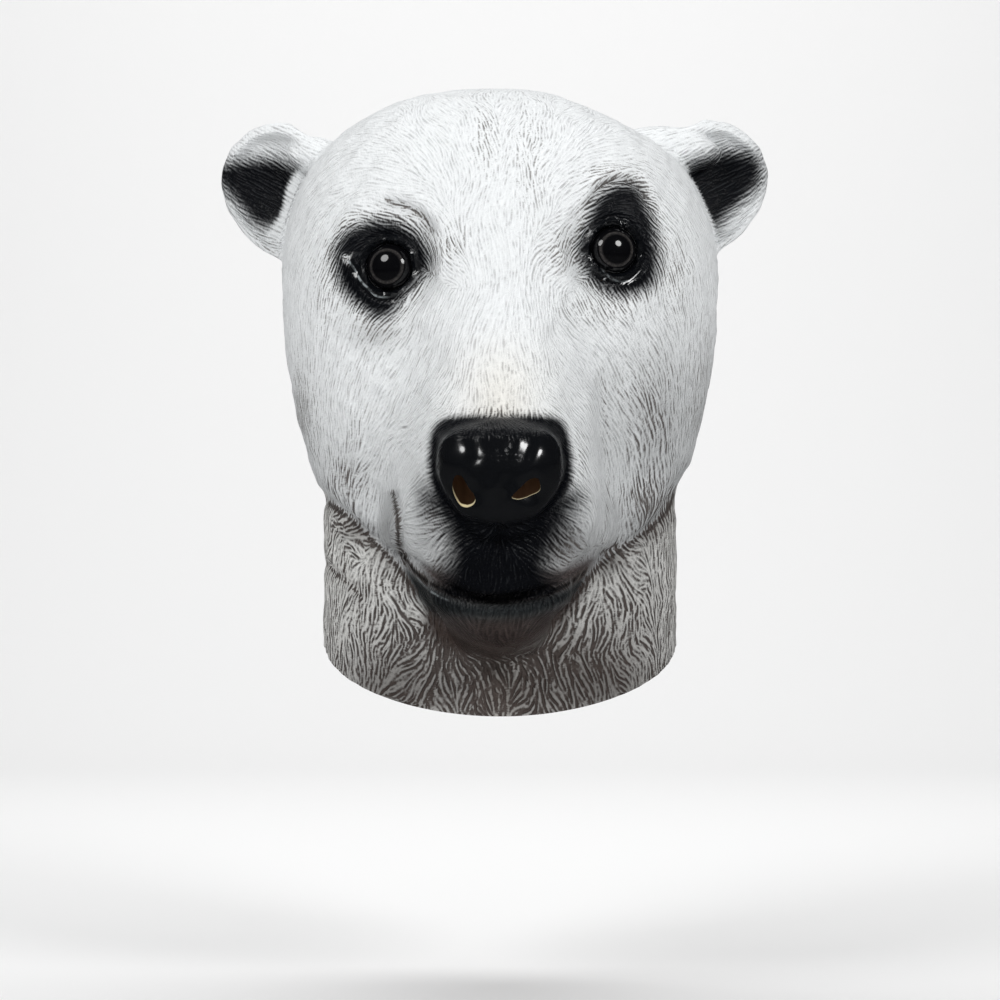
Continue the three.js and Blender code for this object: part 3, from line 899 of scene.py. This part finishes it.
# Sprayed and brushed fields, with their outlines seen from the front. soft: half of the width,
# in millimetres, over which the spray runs out.
black_outlines = {
    "right_eye_patch": {"soft": 7.5, "outline": [
        (-91.3, -88.2), (-88, -79.4), (-80.9, -73.4), (-67.1, -69), (-52.3, -72.3),
        (-41.3, -82.2), (-38, -92.6), (-44, -103), (-52.3, -111.9), (-59.4, -121.2),
        (-68.8, -123.4), (-78.7, -116.3), (-86.4, -108.6), (-89.7, -100.9),
    ]},
    "left_eye_patch": {"soft": 7.5, "outline": [
        (42.4, -83.8), (46.8, -72.3), (52.5, -58.5), (64, -50), (75, -51), (81.2, -61.5),
        (86, -76.7), (87.3, -94.8), (82, -107), (66, -111.5), (52.8, -106.5), (46, -97),
    ]},
    "nose": {"soft": 3.5, "outline": [
        (-39, -207), (-38.5, -190.5), (-34.5, -181.5), (-24.8, -177.6), (0, -177.2),
        (26.4, -177.6), (35, -181.8), (39, -194.9), (39.6, -212.5), (36.3, -222), (26.4, -230),
        (0, -236), (-26.9, -236), (-33, -229), (-36.9, -219),
    ]},
    "lip_groove": {"soft": 14, "outline": [
        (-37, -218), (38, -218), (39, -234), (31, -248), (27, -262), (32, -277), (0, -282),
        (-33, -278), (-30, -266), (-29, -253), (-33, -238),
    ]},
}
ear_black_outlines = {
    "right_ear": [
        (-156, -40), (-134, -35.5), (-116, -38), (-105, -48), (-108, -64), (-122, -73),
        (-135.3, -72), (-147, -59), (-157, -47),
    ],
    "left_ear": [
        (126, -31), (141, -34), (144, -48), (134, -60), (124.3, -68.3), (116.6, -75.8),
        (104, -70), (98, -54), (102, -40), (114.4, -33.9),
    ],
}
black = np.zeros(len(points))
for patch in black_outlines.values():
    within = smooth(-patch["soft"], patch["soft"], depth_inside(places, patch["outline"]))
    black = np.maximum(black, within)
black *= 1 - on_ear
ear_soft = 9
for outline in ear_black_outlines.values():
    within = smooth(-ear_soft, ear_soft, depth_inside(places, outline))
    black = np.maximum(black, within * on_ear)
# The white fur of the root lies over the black of the right ear.
root_fur_edge = [
    (-100, -30), (-109, -40), (-114.5, -46), (-117.5, -52), (-119.5, -61), (-121.5, -67),
    (-127, -76),
]
beyond_root = smooth(2, -2, near_path(places, root_fur_edge)[0])
uncovered = np.where(outward < 0, np.maximum(beyond_root, 1 - on_ear), 1)
black = black * uncovered
black *= facing

lip_outline = [
    (-52, -261), (-34.1, -272.5), (-20.4, -278), (-2.2, -279), (16, -277.4), (34.1, -272.5),
    (46, -264), (45.1, -273), (33, -282.4), (16.5, -288.4), (-2.2, -290), (-22, -288.5),
    (-38.5, -285), (-48, -275),
]
chin_outline = [
    (-40, -276), (-22, -283), (-2.2, -285), (16.5, -283), (33, -278), (45, -268), (45, -277),
    (35, -291), (20, -303), (-2.2, -311), (-24, -307.5), (-41, -297),
]
lip_edge_outline = [
    (-43, -259), (-27.5, -263), (-11, -260), (16.5, -260), (33, -261), (51, -255), (48, -263.1),
    (34.1, -272), (16, -278), (-2.2, -279), (-20.4, -278), (-34.1, -272),
]
lip = smooth(-3, 4, depth_inside(places, lip_outline)) * facing
chin = smooth(-4, 6, depth_inside(places, chin_outline)) * facing
lip_edge = smooth(-3, 4, depth_inside(places, lip_edge_outline)) * facing

# Dark wash in the grooves of the hair, spot by spot: partly the mask's own paint, partly painted
# shade. amount: share of the grooves that it fills.
shaded_spots = table("place radius amount", [
    ((84, -226), (22, 22), 0.62),
    ((-84, -214), (18, 18), 0.52),
    ((-110, -186), (11, 34), 0.6),
    ((114, -180), (14, 46), 0.55),
    ((82, -180), (22, 44), 0.44),
    ((-8, -24), (7, 22), 0.36),
    ((16, -32), (10, 26), 0.3),
    ((-36, -232), (9, 16), 0.5),
    ((-34, -262), (9, 8), 0.6),
    ((34, -250), (14, 16), 0.66),
    ((-80, -190), (8, 16), 0.38),
    ((36, -86), (14, 16), 0.42),
    ((-66, -127), (16, 12), 0.45),
    ((60, -118), (24, 12), 0.36),
    ((-30, -84), (12, 12), 0.42),
    ((62, -45), (20, 8), 0.4),
    ((96, -100), (10, 26), 0.38),
    ((-94, -105), (10, 26), 0.3),
    ((0, -176), (34, 5), 0.4),
    ((44, -208), (8, 24), 0.4),
    ((-84, -238), (12, 9), 0.6),
    ((64, -252), (14, 9), 0.7),
])
# Painted shade misted over the hair: beside the folds, around the mouth, on the cheeks and the
# sides, under the chin and low on the neck. amount: share of the white that it hides.
painted_shade_spots = table("place radius amount", [
    ((-42, -226), (8, 20), 0.5),
    ((36, -248), (18, 17), 0.72),
    ((-62, -238), (5, 17), 0.5),
    ((-80, -241), (13, 7), 0.4),
    ((-30, -262), (13, 9), 0.6),
    ((80, -236), (20, 14), 0.35),
    ((60, -258), (12, 7), 0.4),
    ((0, -300), (50, 16), 0.6),
    ((0, -330), (60, 26), 0.78),
    ((44, -314), (26, 18), 0.3),
    ((-68, -132), (16, 8), 0.3),
    ((88, -185), (28, 50), 0.36),
    ((-112, -190), (9, 34), 0.3),
    ((118, -190), (12, 50), 0.25),
    ((-70, -290), (40, 40), 0.16),
    ((74, -285), (36, 36), 0.34),
    ((-62, -326), (34, 22), 0.62),
    ((62, -326), (36, 22), 0.64),
    ((-41, -245), (11, 12), 0.3),
    ((-84, -212), (22, 22), 0.18),
])


def spot_at(place, radius):
    offset = (places - np.array(place)) / np.array(radius)
    return np.exp(-(offset**2).sum(axis=1))


# How far the wash fills the grooves: lightly on the face, deeply on the neck, and more low on
# the sides and under the chin, where it is painted shade.
wash_and_shade = -0.03 + 0.1 * smooth(-110, -170, places[:, 1]) * front
for spot in shaded_spots:
    wash_and_shade = np.maximum(wash_and_shade, spot["amount"] * spot_at(spot["place"], spot["radius"]) * front)
for name in ("right_eye_patch", "left_eye_patch"):
    from_patch = depth_inside(places, black_outlines[name]["outline"])
    wash_and_shade = np.maximum(wash_and_shade, 0.5 * smooth(-12, 0, from_patch) * front)
throat = smooth(-262, -300, places[:, 1]) * np.exp(-((places[:, 0] / 75) ** 2))
neck_wash_and_shade = 0.31 + 0.35 * throat + 0.2 * spot_at((0, -308), (40, 12))
neck_wash_and_shade = np.where(at_back, 0.3 * on_neck, neck_wash_and_shade * smooth(-6, 3, below_jaw))
wash_and_shade = np.maximum(wash_and_shade, neck_wash_and_shade)
wash_and_shade = np.maximum(wash_and_shade, 0.3 * (1 - front) * smooth(-60 * mm, -180 * mm, points[:, 2]))
wash_and_shade = np.maximum(wash_and_shade, on_ear * (0.05 + 0.35 * smooth(-70, -95, places[:, 1])))

# The strands grow coarser towards the jaw and the neck.
lower_face = 0.4 * smooth(-150, -200, places[:, 1]) + 0.5 * smooth(-24, -4, below_jaw)
on_face = np.maximum(0.8 * spot_at((86, -200), (26, 48)), lower_face)
coarse = np.maximum(on_neck, on_face * front)

# The painted shade from these spots, each darkening what the ones before left white.
painted_shade = np.zeros(len(points))
for spot in painted_shade_spots:
    sprayed = spot["amount"] * spot_at(spot["place"], spot["radius"])
    painted_shade = painted_shade + (1 - painted_shade) * sprayed * facing

# Painted lines, paint and painted shade in the creases: how many of its widths away the nearest
# line of each family is, and its shade.
far_off, families = 2.0, 3
line_gaps = np.full((len(points), families), far_off)
line_shades = np.zeros((len(points), families))
for line in face_lines:
    if line["shade"]:
        distance, share = near_path(places, line["path"])
        ends = smooth(-0.02, 0.06, share) * smooth(1.02, 0.9, share)
        gap, family = distance / line["width"], line["family"]
        shade = line["shade"] * ends
        closer = np.abs(gap) < np.abs(line_gaps[:, family])
        line_gaps[closer, family] = gap[closer]
        line_shades[closer, family] = (shade * smooth(2, 1.3, np.abs(gap)) * front)[closer]
        # Painted shade misted beside each line, and the wash filled into it.
        beside = bump_around(gap, 2) * ends * facing
        painted_shade = painted_shade + (1 - painted_shade) * 0.45 * line["shade"] * beside
        filled = shade * (1 - np.minimum(np.abs(gap), 1)) * front
        wash_and_shade = np.maximum(wash_and_shade, 0.9 * smooth(0, 0.5, filled))

# Painted highlights: wet glints along the rims of the lids and of the lower lip, with the distance
# in millimetres.
glint_gap, glint = np.full(len(points), 8.0), np.zeros(len(points))
for rim, amount in [(wet_rims[0], 1.0), (wet_rims[1], 0.4), (wet_lip, 0.6)]:
    distance, share = near_path(places, rim)
    closer = np.abs(distance) < np.abs(glint_gap)
    glint_gap[closer] = distance[closer]
    ends = smooth(0, 0.12, share) * smooth(1, 0.8, share)
    glint[closer] = (amount * ends * smooth(8, 5, np.abs(distance)) * front)[closer]

# The gloss coat: on the nose pad, inside the lids and on their rims.
shine = smooth(0, 4, depth_inside(places, nose_outline)) * smooth(-185, -192, places[:, 1]) * front
for matrix in eye_frames.values():
    local = in_frame(matrix, points) / mm
    from_eye = np.hypot(local[:, 0], local[:, 2]) + 50 * (np.abs(local[:, 1]) > 25)
    shine = np.maximum(shine, 0.75 * smooth(18, 15, from_eye))
for rim in wet_rims:
    shine = np.maximum(shine, bump_around(near_path(places, rim)[0], 3.2) * front)
pebble = spot_at((1, -199), (12, 9)) * shine

# Paint colours, and the grey and brown of the painted shade.
cool_white, cream_white = np.array((0.84, 0.86, 0.87)), np.array((0.84, 0.82, 0.765))
painted_shade_grey, painted_shade_brown = np.array((0.045, 0.045, 0.047)), np.array((0.044, 0.031, 0.026))
lip_grey, lip_brown = np.array((0.020, 0.024, 0.025)), np.array((0.045, 0.026, 0.023))
chin_brown = np.array((0.031, 0.016, 0.013))
on_bridge = np.exp(-((places[:, 0] / 22) ** 2)) * smooth(-120, -170, places[:, 1])
cream = np.maximum(on_bridge * 0.8 * facing, on_neck * 0.5)
tint = blended(cool_white, cream_white, cream)
tint = blended(tint, blended(painted_shade_grey, painted_shade_brown, on_neck), painted_shade)
for colour, cover in ((chin_brown, 0.92 * chin), (lip_grey, lip), (lip_brown, 0.9 * lip_edge)):
    tint = blended(tint, colour, cover)

value_fields = {"FLOAT": "value", "FLOAT_VECTOR": "vector", "FLOAT_COLOR": "color"}


def store(mesh, name, kind, values):
    layer = mesh.attributes.new(name, kind, "POINT")
    layer.data.foreach_set(value_fields[kind], values.astype(np.float32).reshape(-1))


plain_fields = {
    "black": black, "wash_and_shade": wash_and_shade, "coarse": coarse, "shine": shine, "pebble": pebble,
    "glint_gap": glint_gap, "glint": glint,
}
for field_name, values in plain_fields.items():
    store(skin_mesh, field_name, "FLOAT", values)
for field_name, values in {"lay": lay, "line_gaps": line_gaps, "line_shades": line_shades}.items():
    store(skin_mesh, field_name, "FLOAT_VECTOR", values)
store(skin_mesh, "tint", "FLOAT_COLOR", np.concatenate([tint, np.ones((len(points), 1))], axis=1))


def feed(tree, node, values):
    for socket, value in values.items():
        if isinstance(value, bpy.types.NodeSocket):
            tree.links.new(value, node.inputs[socket])
        else:
            node.inputs[socket].default_value = value


def new_node(tree, kind, values=None, **settings):
    node = tree.nodes.new("ShaderNode" + kind)
    for name, setting in settings.items():
        setattr(node, name, setting)
    feed(tree, node, values or {})
    return node


def math_node(tree, operation, *values):
    return new_node(tree, "Math", dict(enumerate(values)), operation=operation).outputs[0]


def vector_math(tree, operation, *values):
    sockets = (0, "Scale") if operation == "SCALE" else (0, 1, 2)
    return new_node(tree, "VectorMath", dict(zip(sockets, values)), operation=operation).outputs[0]


def mix_values(tree, share, a, b):
    return new_node(tree, "Mix", {0: share, 2: a, 3: b}, data_type="FLOAT").outputs[0]


def mix_colours(tree, share, a, b):
    return new_node(tree, "Mix", {0: share, 6: a, 7: b}, data_type="RGBA").outputs[2]


def map_range(tree, value, low, high, to_low=0.0, to_high=1.0):
    limits = {"From Min": low, "From Max": high, "To Min": to_low, "To Max": to_high}
    node = new_node(tree, "MapRange", {"Value": value, **limits}, interpolation_type="SMOOTHSTEP")
    return node.outputs["Result"]


def noise_at(tree, place, scale, detail):
    values = {"Vector": place, "Scale": scale, "Detail": detail}
    return new_node(tree, "TexNoise", values).outputs["Fac"]


def attribute(tree, name, output="Fac"):
    return new_node(tree, "Attribute", attribute_name=name).outputs[output]


def parts_of(tree, vector):
    return new_node(tree, "SeparateXYZ", {0: vector}).outputs


# Brushed strands: six samples of a noise along the lie of the hair, less a second row of six set
# beside them, so that light and dark strands keep an even width.
brushed = bpy.data.node_groups.new("brushed_strands", "ShaderNodeTree")
for socket in ("Lay", "Fineness", "Step", "Gap", "Evenness"):
    kind = "NodeSocketVector" if socket == "Lay" else "NodeSocketFloat"
    brushed.interface.new_socket(socket, in_out="INPUT", socket_type=kind)
brushed.interface.new_socket("Strand", in_out="OUTPUT", socket_type="NodeSocketFloat")
given = brushed.nodes.new("NodeGroupInput").outputs
strand_out = brushed.nodes.new("NodeGroupOutput")
place = new_node(brushed, "TexCoord").outputs["Object"]
stride = vector_math(brushed, "SCALE", given["Lay"], given["Step"])
upright = new_node(brushed, "NewGeometry").outputs["Normal"]
across = vector_math(brushed, "CROSS_PRODUCT", upright, given["Lay"])
beside = vector_math(brushed, "ADD", place, vector_math(brushed, "SCALE", across, given["Gap"]))
mean_of_six = 3.0
rows = []
for start, steps in ((place, range(-6, 6, 2)), (beside, range(-5, 6, 2))):
    row = -mean_of_six
    for k in steps:
        moved = vector_math(brushed, "MULTIPLY_ADD", stride, (k, k, k), start)
        row = math_node(brushed, "ADD", row, noise_at(brushed, moved, given["Fineness"], 0.0))
    rows.append(row)
evened_out = math_node(brushed, "MULTIPLY", rows[1], given["Evenness"])
contrast = math_node(brushed, "SUBTRACT", rows[0], evened_out)
strand_range = 1.15
feed(brushed, strand_out, {"Strand": map_range(brushed, contrast, -strand_range, strand_range)})

# Painted fur
# White latex paint over the whole outside, with dark wash and painted shade in the grooves of the
# fur, the patches sprayed black, painted highlights on the rims, and a gloss coat on the nose pad
# and the rims of the lids.
painted_fur.use_nodes = True
tree = painted_fur.node_tree

# The lie of the hair, turned from its doubled angle back into a direction in the surface.
doubled = parts_of(tree, attribute(tree, "lay", "Vector"))
half_turn = math_node(tree, "MULTIPLY", math_node(tree, "ARCTAN2", doubled["Y"], doubled["X"]), 0.5)
surface = new_node(tree, "NewGeometry").outputs["Normal"]
level = vector_math(tree, "NORMALIZE", vector_math(tree, "CROSS_PRODUCT", (0, 0, 1), surface))
upward = vector_math(tree, "CROSS_PRODUCT", surface, level)
sideways = vector_math(tree, "SCALE", level, math_node(tree, "COSINE", half_turn))
upwards = vector_math(tree, "SCALE", upward, math_node(tree, "SINE", half_turn))
lay_vector = vector_math(tree, "ADD", sideways, upwards)

# Fine strands on the face, bold ones on the neck.
strand_kinds = [
    {"Fineness": 820, "Step": 0.5 * mm, "Gap": 0.7 * mm, "Evenness": 1.0},
    {"Fineness": 560, "Step": 0.64 * mm, "Gap": 1.1 * mm, "Evenness": 0.6},
]
fine, bold = (
    new_node(tree, "Group", {"Lay": lay_vector, **values}, node_tree=brushed)
    for values in strand_kinds
)
coarseness = attribute(tree, "coarse")
strand = mix_values(tree, coarseness, fine.outputs[0], bold.outputs[0])
valley = math_node(tree, "SUBTRACT", 0.5, strand)
object_place = new_node(tree, "TexCoord").outputs["Object"]

# Wash and painted shade in the grooves, and the tint darkened towards the valleys between the
# crests as painted shade.
fine_groove, bold_groove = (0.12, 0.105, 0.095, 1), (0.052, 0.038, 0.033, 1)
patchy = map_range(tree, noise_at(tree, object_place, 45, 3), 0.3, 0.7, 0.75, 1.2)
shade = math_node(tree, "MULTIPLY", attribute(tree, "wash_and_shade"), patchy)
groove_start = mix_values(tree, coarseness, -0.22, -0.16)
groove_full = mix_values(tree, coarseness, 0.38, 0.24)
depth = math_node(tree, "SUBTRACT", shade, strand)
groove = map_range(tree, depth, groove_start, groove_full, 0, 0.88)
groove_colour = mix_colours(tree, coarseness, fine_groove, bold_groove)
valley_shade = mix_values(tree, coarseness, 0.9, 0.46)
crest = mix_values(tree, map_range(tree, strand, 0.0, 0.85), valley_shade, 1.0)
crest_tint = vector_math(tree, "SCALE", attribute(tree, "tint", "Color"), crest)
furred = mix_colours(tree, groove, crest_tint, groove_colour)

# Dark lines in the creases: paint wiped into them, and their painted shade.
crease_black = (0.012, 0.009, 0.008, 1)
gaps = parts_of(tree, attribute(tree, "line_gaps", "Vector"))
shades = parts_of(tree, attribute(tree, "line_shades", "Vector"))
in_crease = 0.0
for axis in "XYZ":
    gap = math_node(tree, "MINIMUM", math_node(tree, "ABSOLUTE", gaps[axis]), 1.0)
    nearness = math_node(tree, "SUBTRACT", 1.0, gap)
    line_shade = math_node(tree, "MULTIPLY", nearness, shades[axis])
    in_crease = math_node(tree, "MAXIMUM", in_crease, line_shade)
in_crease = math_node(tree, "ADD", in_crease, math_node(tree, "MULTIPLY", valley, 0.08))
creased = map_range(tree, in_crease, 0.3, 0.95, 0, 0.97)
furred = mix_colours(tree, creased, furred, crease_black)

# Sprayed black, which settles in the valleys of the strands where it runs out.
spray_black, crest_grey_and_sheen = (0.0025, 0.003, 0.0045, 1), (0.07, 0.075, 0.08, 1)
gloss_black = (0.003, 0.0035, 0.0045, 1)
sprayed = attribute(tree, "black")
shine_share = attribute(tree, "shine")
unsprayed = math_node(tree, "SUBTRACT", 1.0, sprayed)
at_edge = math_node(tree, "MULTIPLY", math_node(tree, "MULTIPLY", sprayed, unsprayed), 1.8)
tooth = math_node(tree, "ADD", sprayed, math_node(tree, "MULTIPLY", valley, at_edge))
black_mask = math_node(tree, "POWER", map_range(tree, tooth, 0.0, 0.95), 0.7)
# The crests of the black strands turn lighter: dry-brushed grey and a painted sheen.
on_crest = map_range(tree, strand, 0.6, 1.0, 0, 0.22)
sprayed_black = mix_colours(tree, on_crest, spray_black, crest_grey_and_sheen)
nose_black = mix_colours(tree, shine_share, sprayed_black, gloss_black)
painted = mix_colours(tree, black_mask, furred, nose_black)

# Painted highlights: broken wet glints along the rims, mixed into the colour.
glint_grey = (0.30, 0.33, 0.34, 1)
from_glint = math_node(tree, "ABSOLUTE", attribute(tree, "glint_gap"))
broken = map_range(tree, noise_at(tree, object_place, 260, 1), 0.42, 0.55, 0.15, 1)
glint_line = math_node(tree, "MULTIPLY", map_range(tree, from_glint, 0.2, 0.9, 1, 0), broken)
glint_line = math_node(tree, "MULTIPLY", glint_line, attribute(tree, "glint"))
painted = mix_colours(tree, glint_line, painted, glint_grey)

# Heights in millimetres: strands, the grain of the latex, and the pebbles of the nose pad.
strand_height = math_node(tree, "MULTIPLY", strand, mix_values(tree, coarseness, 0.5, 1.7))
dull = math_node(tree, "SUBTRACT", 1.0, shine_share)
fur_height = math_node(tree, "MULTIPLY", strand_height, dull)
grain = math_node(tree, "MULTIPLY", noise_at(tree, object_place, 1400, 2), 0.06)
pebbles = new_node(tree, "TexVoronoi", {"Vector": object_place, "Scale": 340}).outputs["Distance"]
pebble_share = math_node(tree, "MULTIPLY", attribute(tree, "pebble"), 0.55)
pebble_height = math_node(tree, "MULTIPLY", pebbles, pebble_share)
fur_height = math_node(tree, "ADD", fur_height, grain)
relief_height = math_node(tree, "SUBTRACT", fur_height, pebble_height)
bump = new_node(tree, "Bump", {"Height": relief_height, "Distance": mm, "Strength": 1.0})

fur_roughness = mix_values(tree, black_mask, 0.52, 0.36)
feed(tree, tree.nodes["Principled BSDF"], {
    "Base Color": painted,
    "Roughness": mix_values(tree, shine_share, fur_roughness, 0.16),
    "IOR": 1.22,
    "Coat Weight": shine_share,
    "Coat Roughness": 0.15,
    "Coat IOR": 1.5,
    "Normal": bump.outputs["Normal"],
})

# Raw latex
# The inside of the mask is left unpainted: tan-brown as aged latex is, and darker still as painted
# shade of the dim inside; cream in the nostrils, where the knife has just been through it.
bare_finishes = [
    {"material": raw_latex, "dark": (0.10, 0.045, 0.017, 1), "light": (0.19, 0.10, 0.045, 1)},
    {"material": cut_latex, "dark": (0.72, 0.62, 0.38, 1), "light": (0.84, 0.76, 0.52, 1)},
]
for finish in bare_finishes:
    finish["material"].use_nodes = True
    tree = finish["material"].node_tree
    object_place = new_node(tree, "TexCoord").outputs["Object"]
    runs = new_node(tree, "Mapping", {"Vector": object_place, "Scale": (1, 1, 0.25)}).outputs[0]
    runs = noise_at(tree, runs, 90, 4)
    bump = new_node(tree, "Bump", {"Height": runs, "Distance": 0.5 * mm, "Strength": 0.6})
    aged = map_range(tree, runs, 0.35, 0.65)
    feed(tree, tree.nodes["Principled BSDF"], {
        "Base Color": mix_colours(tree, aged, finish["dark"], finish["light"]),
        "Roughness": map_range(tree, runs, 0.3, 0.7, 0.45, 0.65),
        "Normal": bump.outputs["Normal"],
    })

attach(mask_skin, "root")
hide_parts("mask_shell")

# The eyes
# Each eye is a black acrylic dome with a moulded iris, pushed through its hole from behind; a flat
# rim inside the latex is glued to it.
eye_clearance = 0.3 * mm
eye_bulge = 7.5 * mm
eye_shell = 1.5 * mm
eye_flange = 3 * mm
plug_radius = eye_hole / 2 - eye_clearance
edge_round = 0.2 * mm
# Where the iris starts and ends, in millimetres from the middle.
iris_start, iris_end = (7.2, 8.7), (9.0, 9.5)


def dome(radius, height, steps):
    turn = np.linspace(0, math.pi / 2, steps)
    return list(zip(radius * np.sin(turn), -height * np.cos(turn)))


rim_front = wall + eye_clearance
rim_back = rim_front + eye_shell
inside = plug_radius - eye_shell
outside = plug_radius + eye_flange
eye_profile = [
    *dome(plug_radius, eye_bulge, 34),
    (plug_radius, rim_front - edge_round), (plug_radius + edge_round, rim_front),
    (outside - edge_round, rim_front), (outside, rim_front + edge_round),
    (outside, rim_back - edge_round), (outside - edge_round, rim_back),
    (inside + edge_round, rim_back), (inside, rim_back - edge_round),
    *reversed(dome(inside, eye_bulge - eye_shell, 16)),
]
eye_plastic = bpy.data.materials.new("eye_plastic")
for name, matrix in eye_frames.items():
    bpy.ops.object.select_all(action="DESELECT")
    rings = len(eye_profile) - 1
    bpy.ops.mesh.primitive_uv_sphere_add(segments=72, ring_count=rings, radius=1)
    eye = bpy.context.object
    eye.name = eye.data.name = name.replace("eye_", "glass_eye_")
    ball = read_vectors(eye.data.vertices, "co")
    ring = np.rint(np.arccos(np.clip(ball[:, 2], -1, 1)) / math.pi * rings).astype(int)
    profile = np.array(eye_profile)[ring]
    turn = np.arctan2(ball[:, 1], ball[:, 0])
    across, height = profile[:, 0] * np.cos(turn), profile[:, 0] * np.sin(turn)
    shape_to(eye, out_of_frame(matrix, np.stack([across, profile[:, 1], height], axis=1)))
    face_outwards()
    store(eye.data, "from_middle", "FLOAT", profile[:, 0] / mm)
    eye.data.materials.append(eye_plastic)
    bpy.ops.object.shade_smooth_by_angle(angle=math.radians(35))
    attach(eye, "root")
    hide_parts(name)

eye_plastic.use_nodes = True
tree = eye_plastic.node_tree
pupil_black = (0.002, 0.002, 0.0026, 1)
iris_dark, iris_light = (0.022, 0.021, 0.021, 1), (0.048, 0.044, 0.042, 1)
from_middle = attribute(tree, "from_middle")
object_place = new_node(tree, "TexCoord").outputs["Object"]
fleck = map_range(tree, noise_at(tree, object_place, 900, 3), 0.35, 0.7)
iris_brown = mix_colours(tree, fleck, iris_dark, iris_light)
inside_ring = map_range(tree, from_middle, *iris_end, 1, 0)
in_iris = math_node(tree, "MULTIPLY", map_range(tree, from_middle, *iris_start), inside_ring)
feed(tree, tree.nodes["Principled BSDF"], {
    "Base Color": mix_colours(tree, in_iris, pupil_black, iris_brown),
    "Roughness": 0.4,
    "IOR": 1.05,
    "Coat Weight": 1.0,
    "Coat Roughness": 0.06,
    "Coat IOR": 1.38,
})

# The studio
# A plain pale paper floor that runs up into a backdrop, two round softboxes in front, a lamp on
# the backdrop, and a camera two metres away, level with the muzzle.
floor_level = -0.49
floor_half, floor_front, floor_back = 6, -5, 2.6
backdrop_rise, backdrop_bend = (0, 0.6, 5), 1.0
bpy.ops.object.select_all(action="DESELECT")
bpy.ops.mesh.primitive_plane_add(size=1)
floor = bpy.context.object
floor.name = floor.data.name = "studio_floor"
for vertex in floor.data.vertices:
    depth = floor_back if vertex.co.y > 0 else floor_front
    vertex.co = (math.copysign(floor_half, vertex.co.x), depth, floor_level)
bpy.ops.object.mode_set(mode="EDIT")
bpy.ops.mesh.select_mode(type="EDGE")
bpy.ops.mesh.select_all(action="DESELECT")
sheet = bmesh.from_edit_mesh(floor.data)
for edge in sheet.edges:
    if all(corner.co.y > 0 for corner in edge.verts):
        edge.select = True
bmesh.update_edit_mesh(floor.data)
bpy.ops.mesh.extrude_region_move(TRANSFORM_OT_translate={"value": backdrop_rise})
face_outwards()
bpy.ops.object.modifier_add(type="BEVEL")
floor.modifiers["Bevel"].width = backdrop_bend
floor.modifiers["Bevel"].segments = 16
bpy.ops.object.modifier_apply(modifier="Bevel")
bpy.ops.object.shade_smooth()
paper = bpy.data.materials.new("studio_paper")
paper.use_nodes = True
# In glossy reflections the paper shows near black: a painted dark reflection, so the black nose and
# eyes stay deep.
in_gloss = new_node(paper.node_tree, "LightPath").outputs["Is Glossy Ray"]
paper_white, paper_in_gloss = (0.9, 0.9, 0.9, 1), (0.06, 0.06, 0.06, 1)
feed(paper.node_tree, paper.node_tree.nodes["Principled BSDF"], {
    "Base Color": mix_colours(paper.node_tree, in_gloss, paper_white, paper_in_gloss),
    "Roughness": 0.9,
})
floor.data.materials.append(paper)

lamps = table("name turn rise distance size watts", [
    ("softbox_left", -38, 32, 1.7, 0.66, 13.2),
    ("softbox_right", 36, 26, 1.7, 0.5, 12.4),
])
aim = Vector((0, -0.05, -0.17))
bpy.context.scene.view_settings.view_transform = "Standard"


# An area lamp; way points from what it lights towards it.
def add_lamp(name, place, way, watts, size, shape):
    bpy.ops.object.light_add(type="AREA", location=place)
    light = bpy.context.object
    light.name = name
    light.rotation_euler = way.to_track_quat("Z", "Y").to_euler()
    light.data.energy = watts
    light.data.shape = shape
    light.data.size = size


for lamp in lamps:
    turn, rise = math.radians(lamp["turn"]), math.radians(lamp["rise"])
    level = math.cos(rise)
    way = Vector((math.sin(turn) * level, -math.cos(turn) * level, math.sin(rise)))
    place = aim + way * lamp["distance"]
    add_lamp(lamp["name"], place, way, lamp["watts"], lamp["size"], "DISK")
backdrop_watts, backdrop_size = 34, 1.6
above_floor, from_backdrop = (0, 0.7, 1.5), Vector((0, -0.75, 0.66))
add_lamp("backdrop_light", above_floor, from_backdrop, backdrop_watts, backdrop_size, "SQUARE")

world = bpy.data.worlds.new("studio_air")
world.use_nodes = True
bpy.context.scene.world = world
air = world.node_tree
rays = new_node(air, "LightPath").outputs
fill_strength, gloss_strength, seen_strength = 0.26, 0.03, 0.85
unseen = mix_values(air, rays["Is Glossy Ray"], fill_strength, gloss_strength)
feed(air, air.nodes["Background"], {
    "Color": (1, 1, 1, 1),
    "Strength": mix_values(air, rays["Is Camera Ray"], unseen, seen_strength),
})

picture_width = 0.55
level_view = (math.radians(90), 0, 0)
bpy.ops.object.camera_add(location=(0, -view_distance, view_height), rotation=level_view)
camera = bpy.context.object
camera.data.sensor_width = 36
camera.data.lens = camera.data.sensor_width * view_distance / picture_width
bpy.context.scene.camera = camera
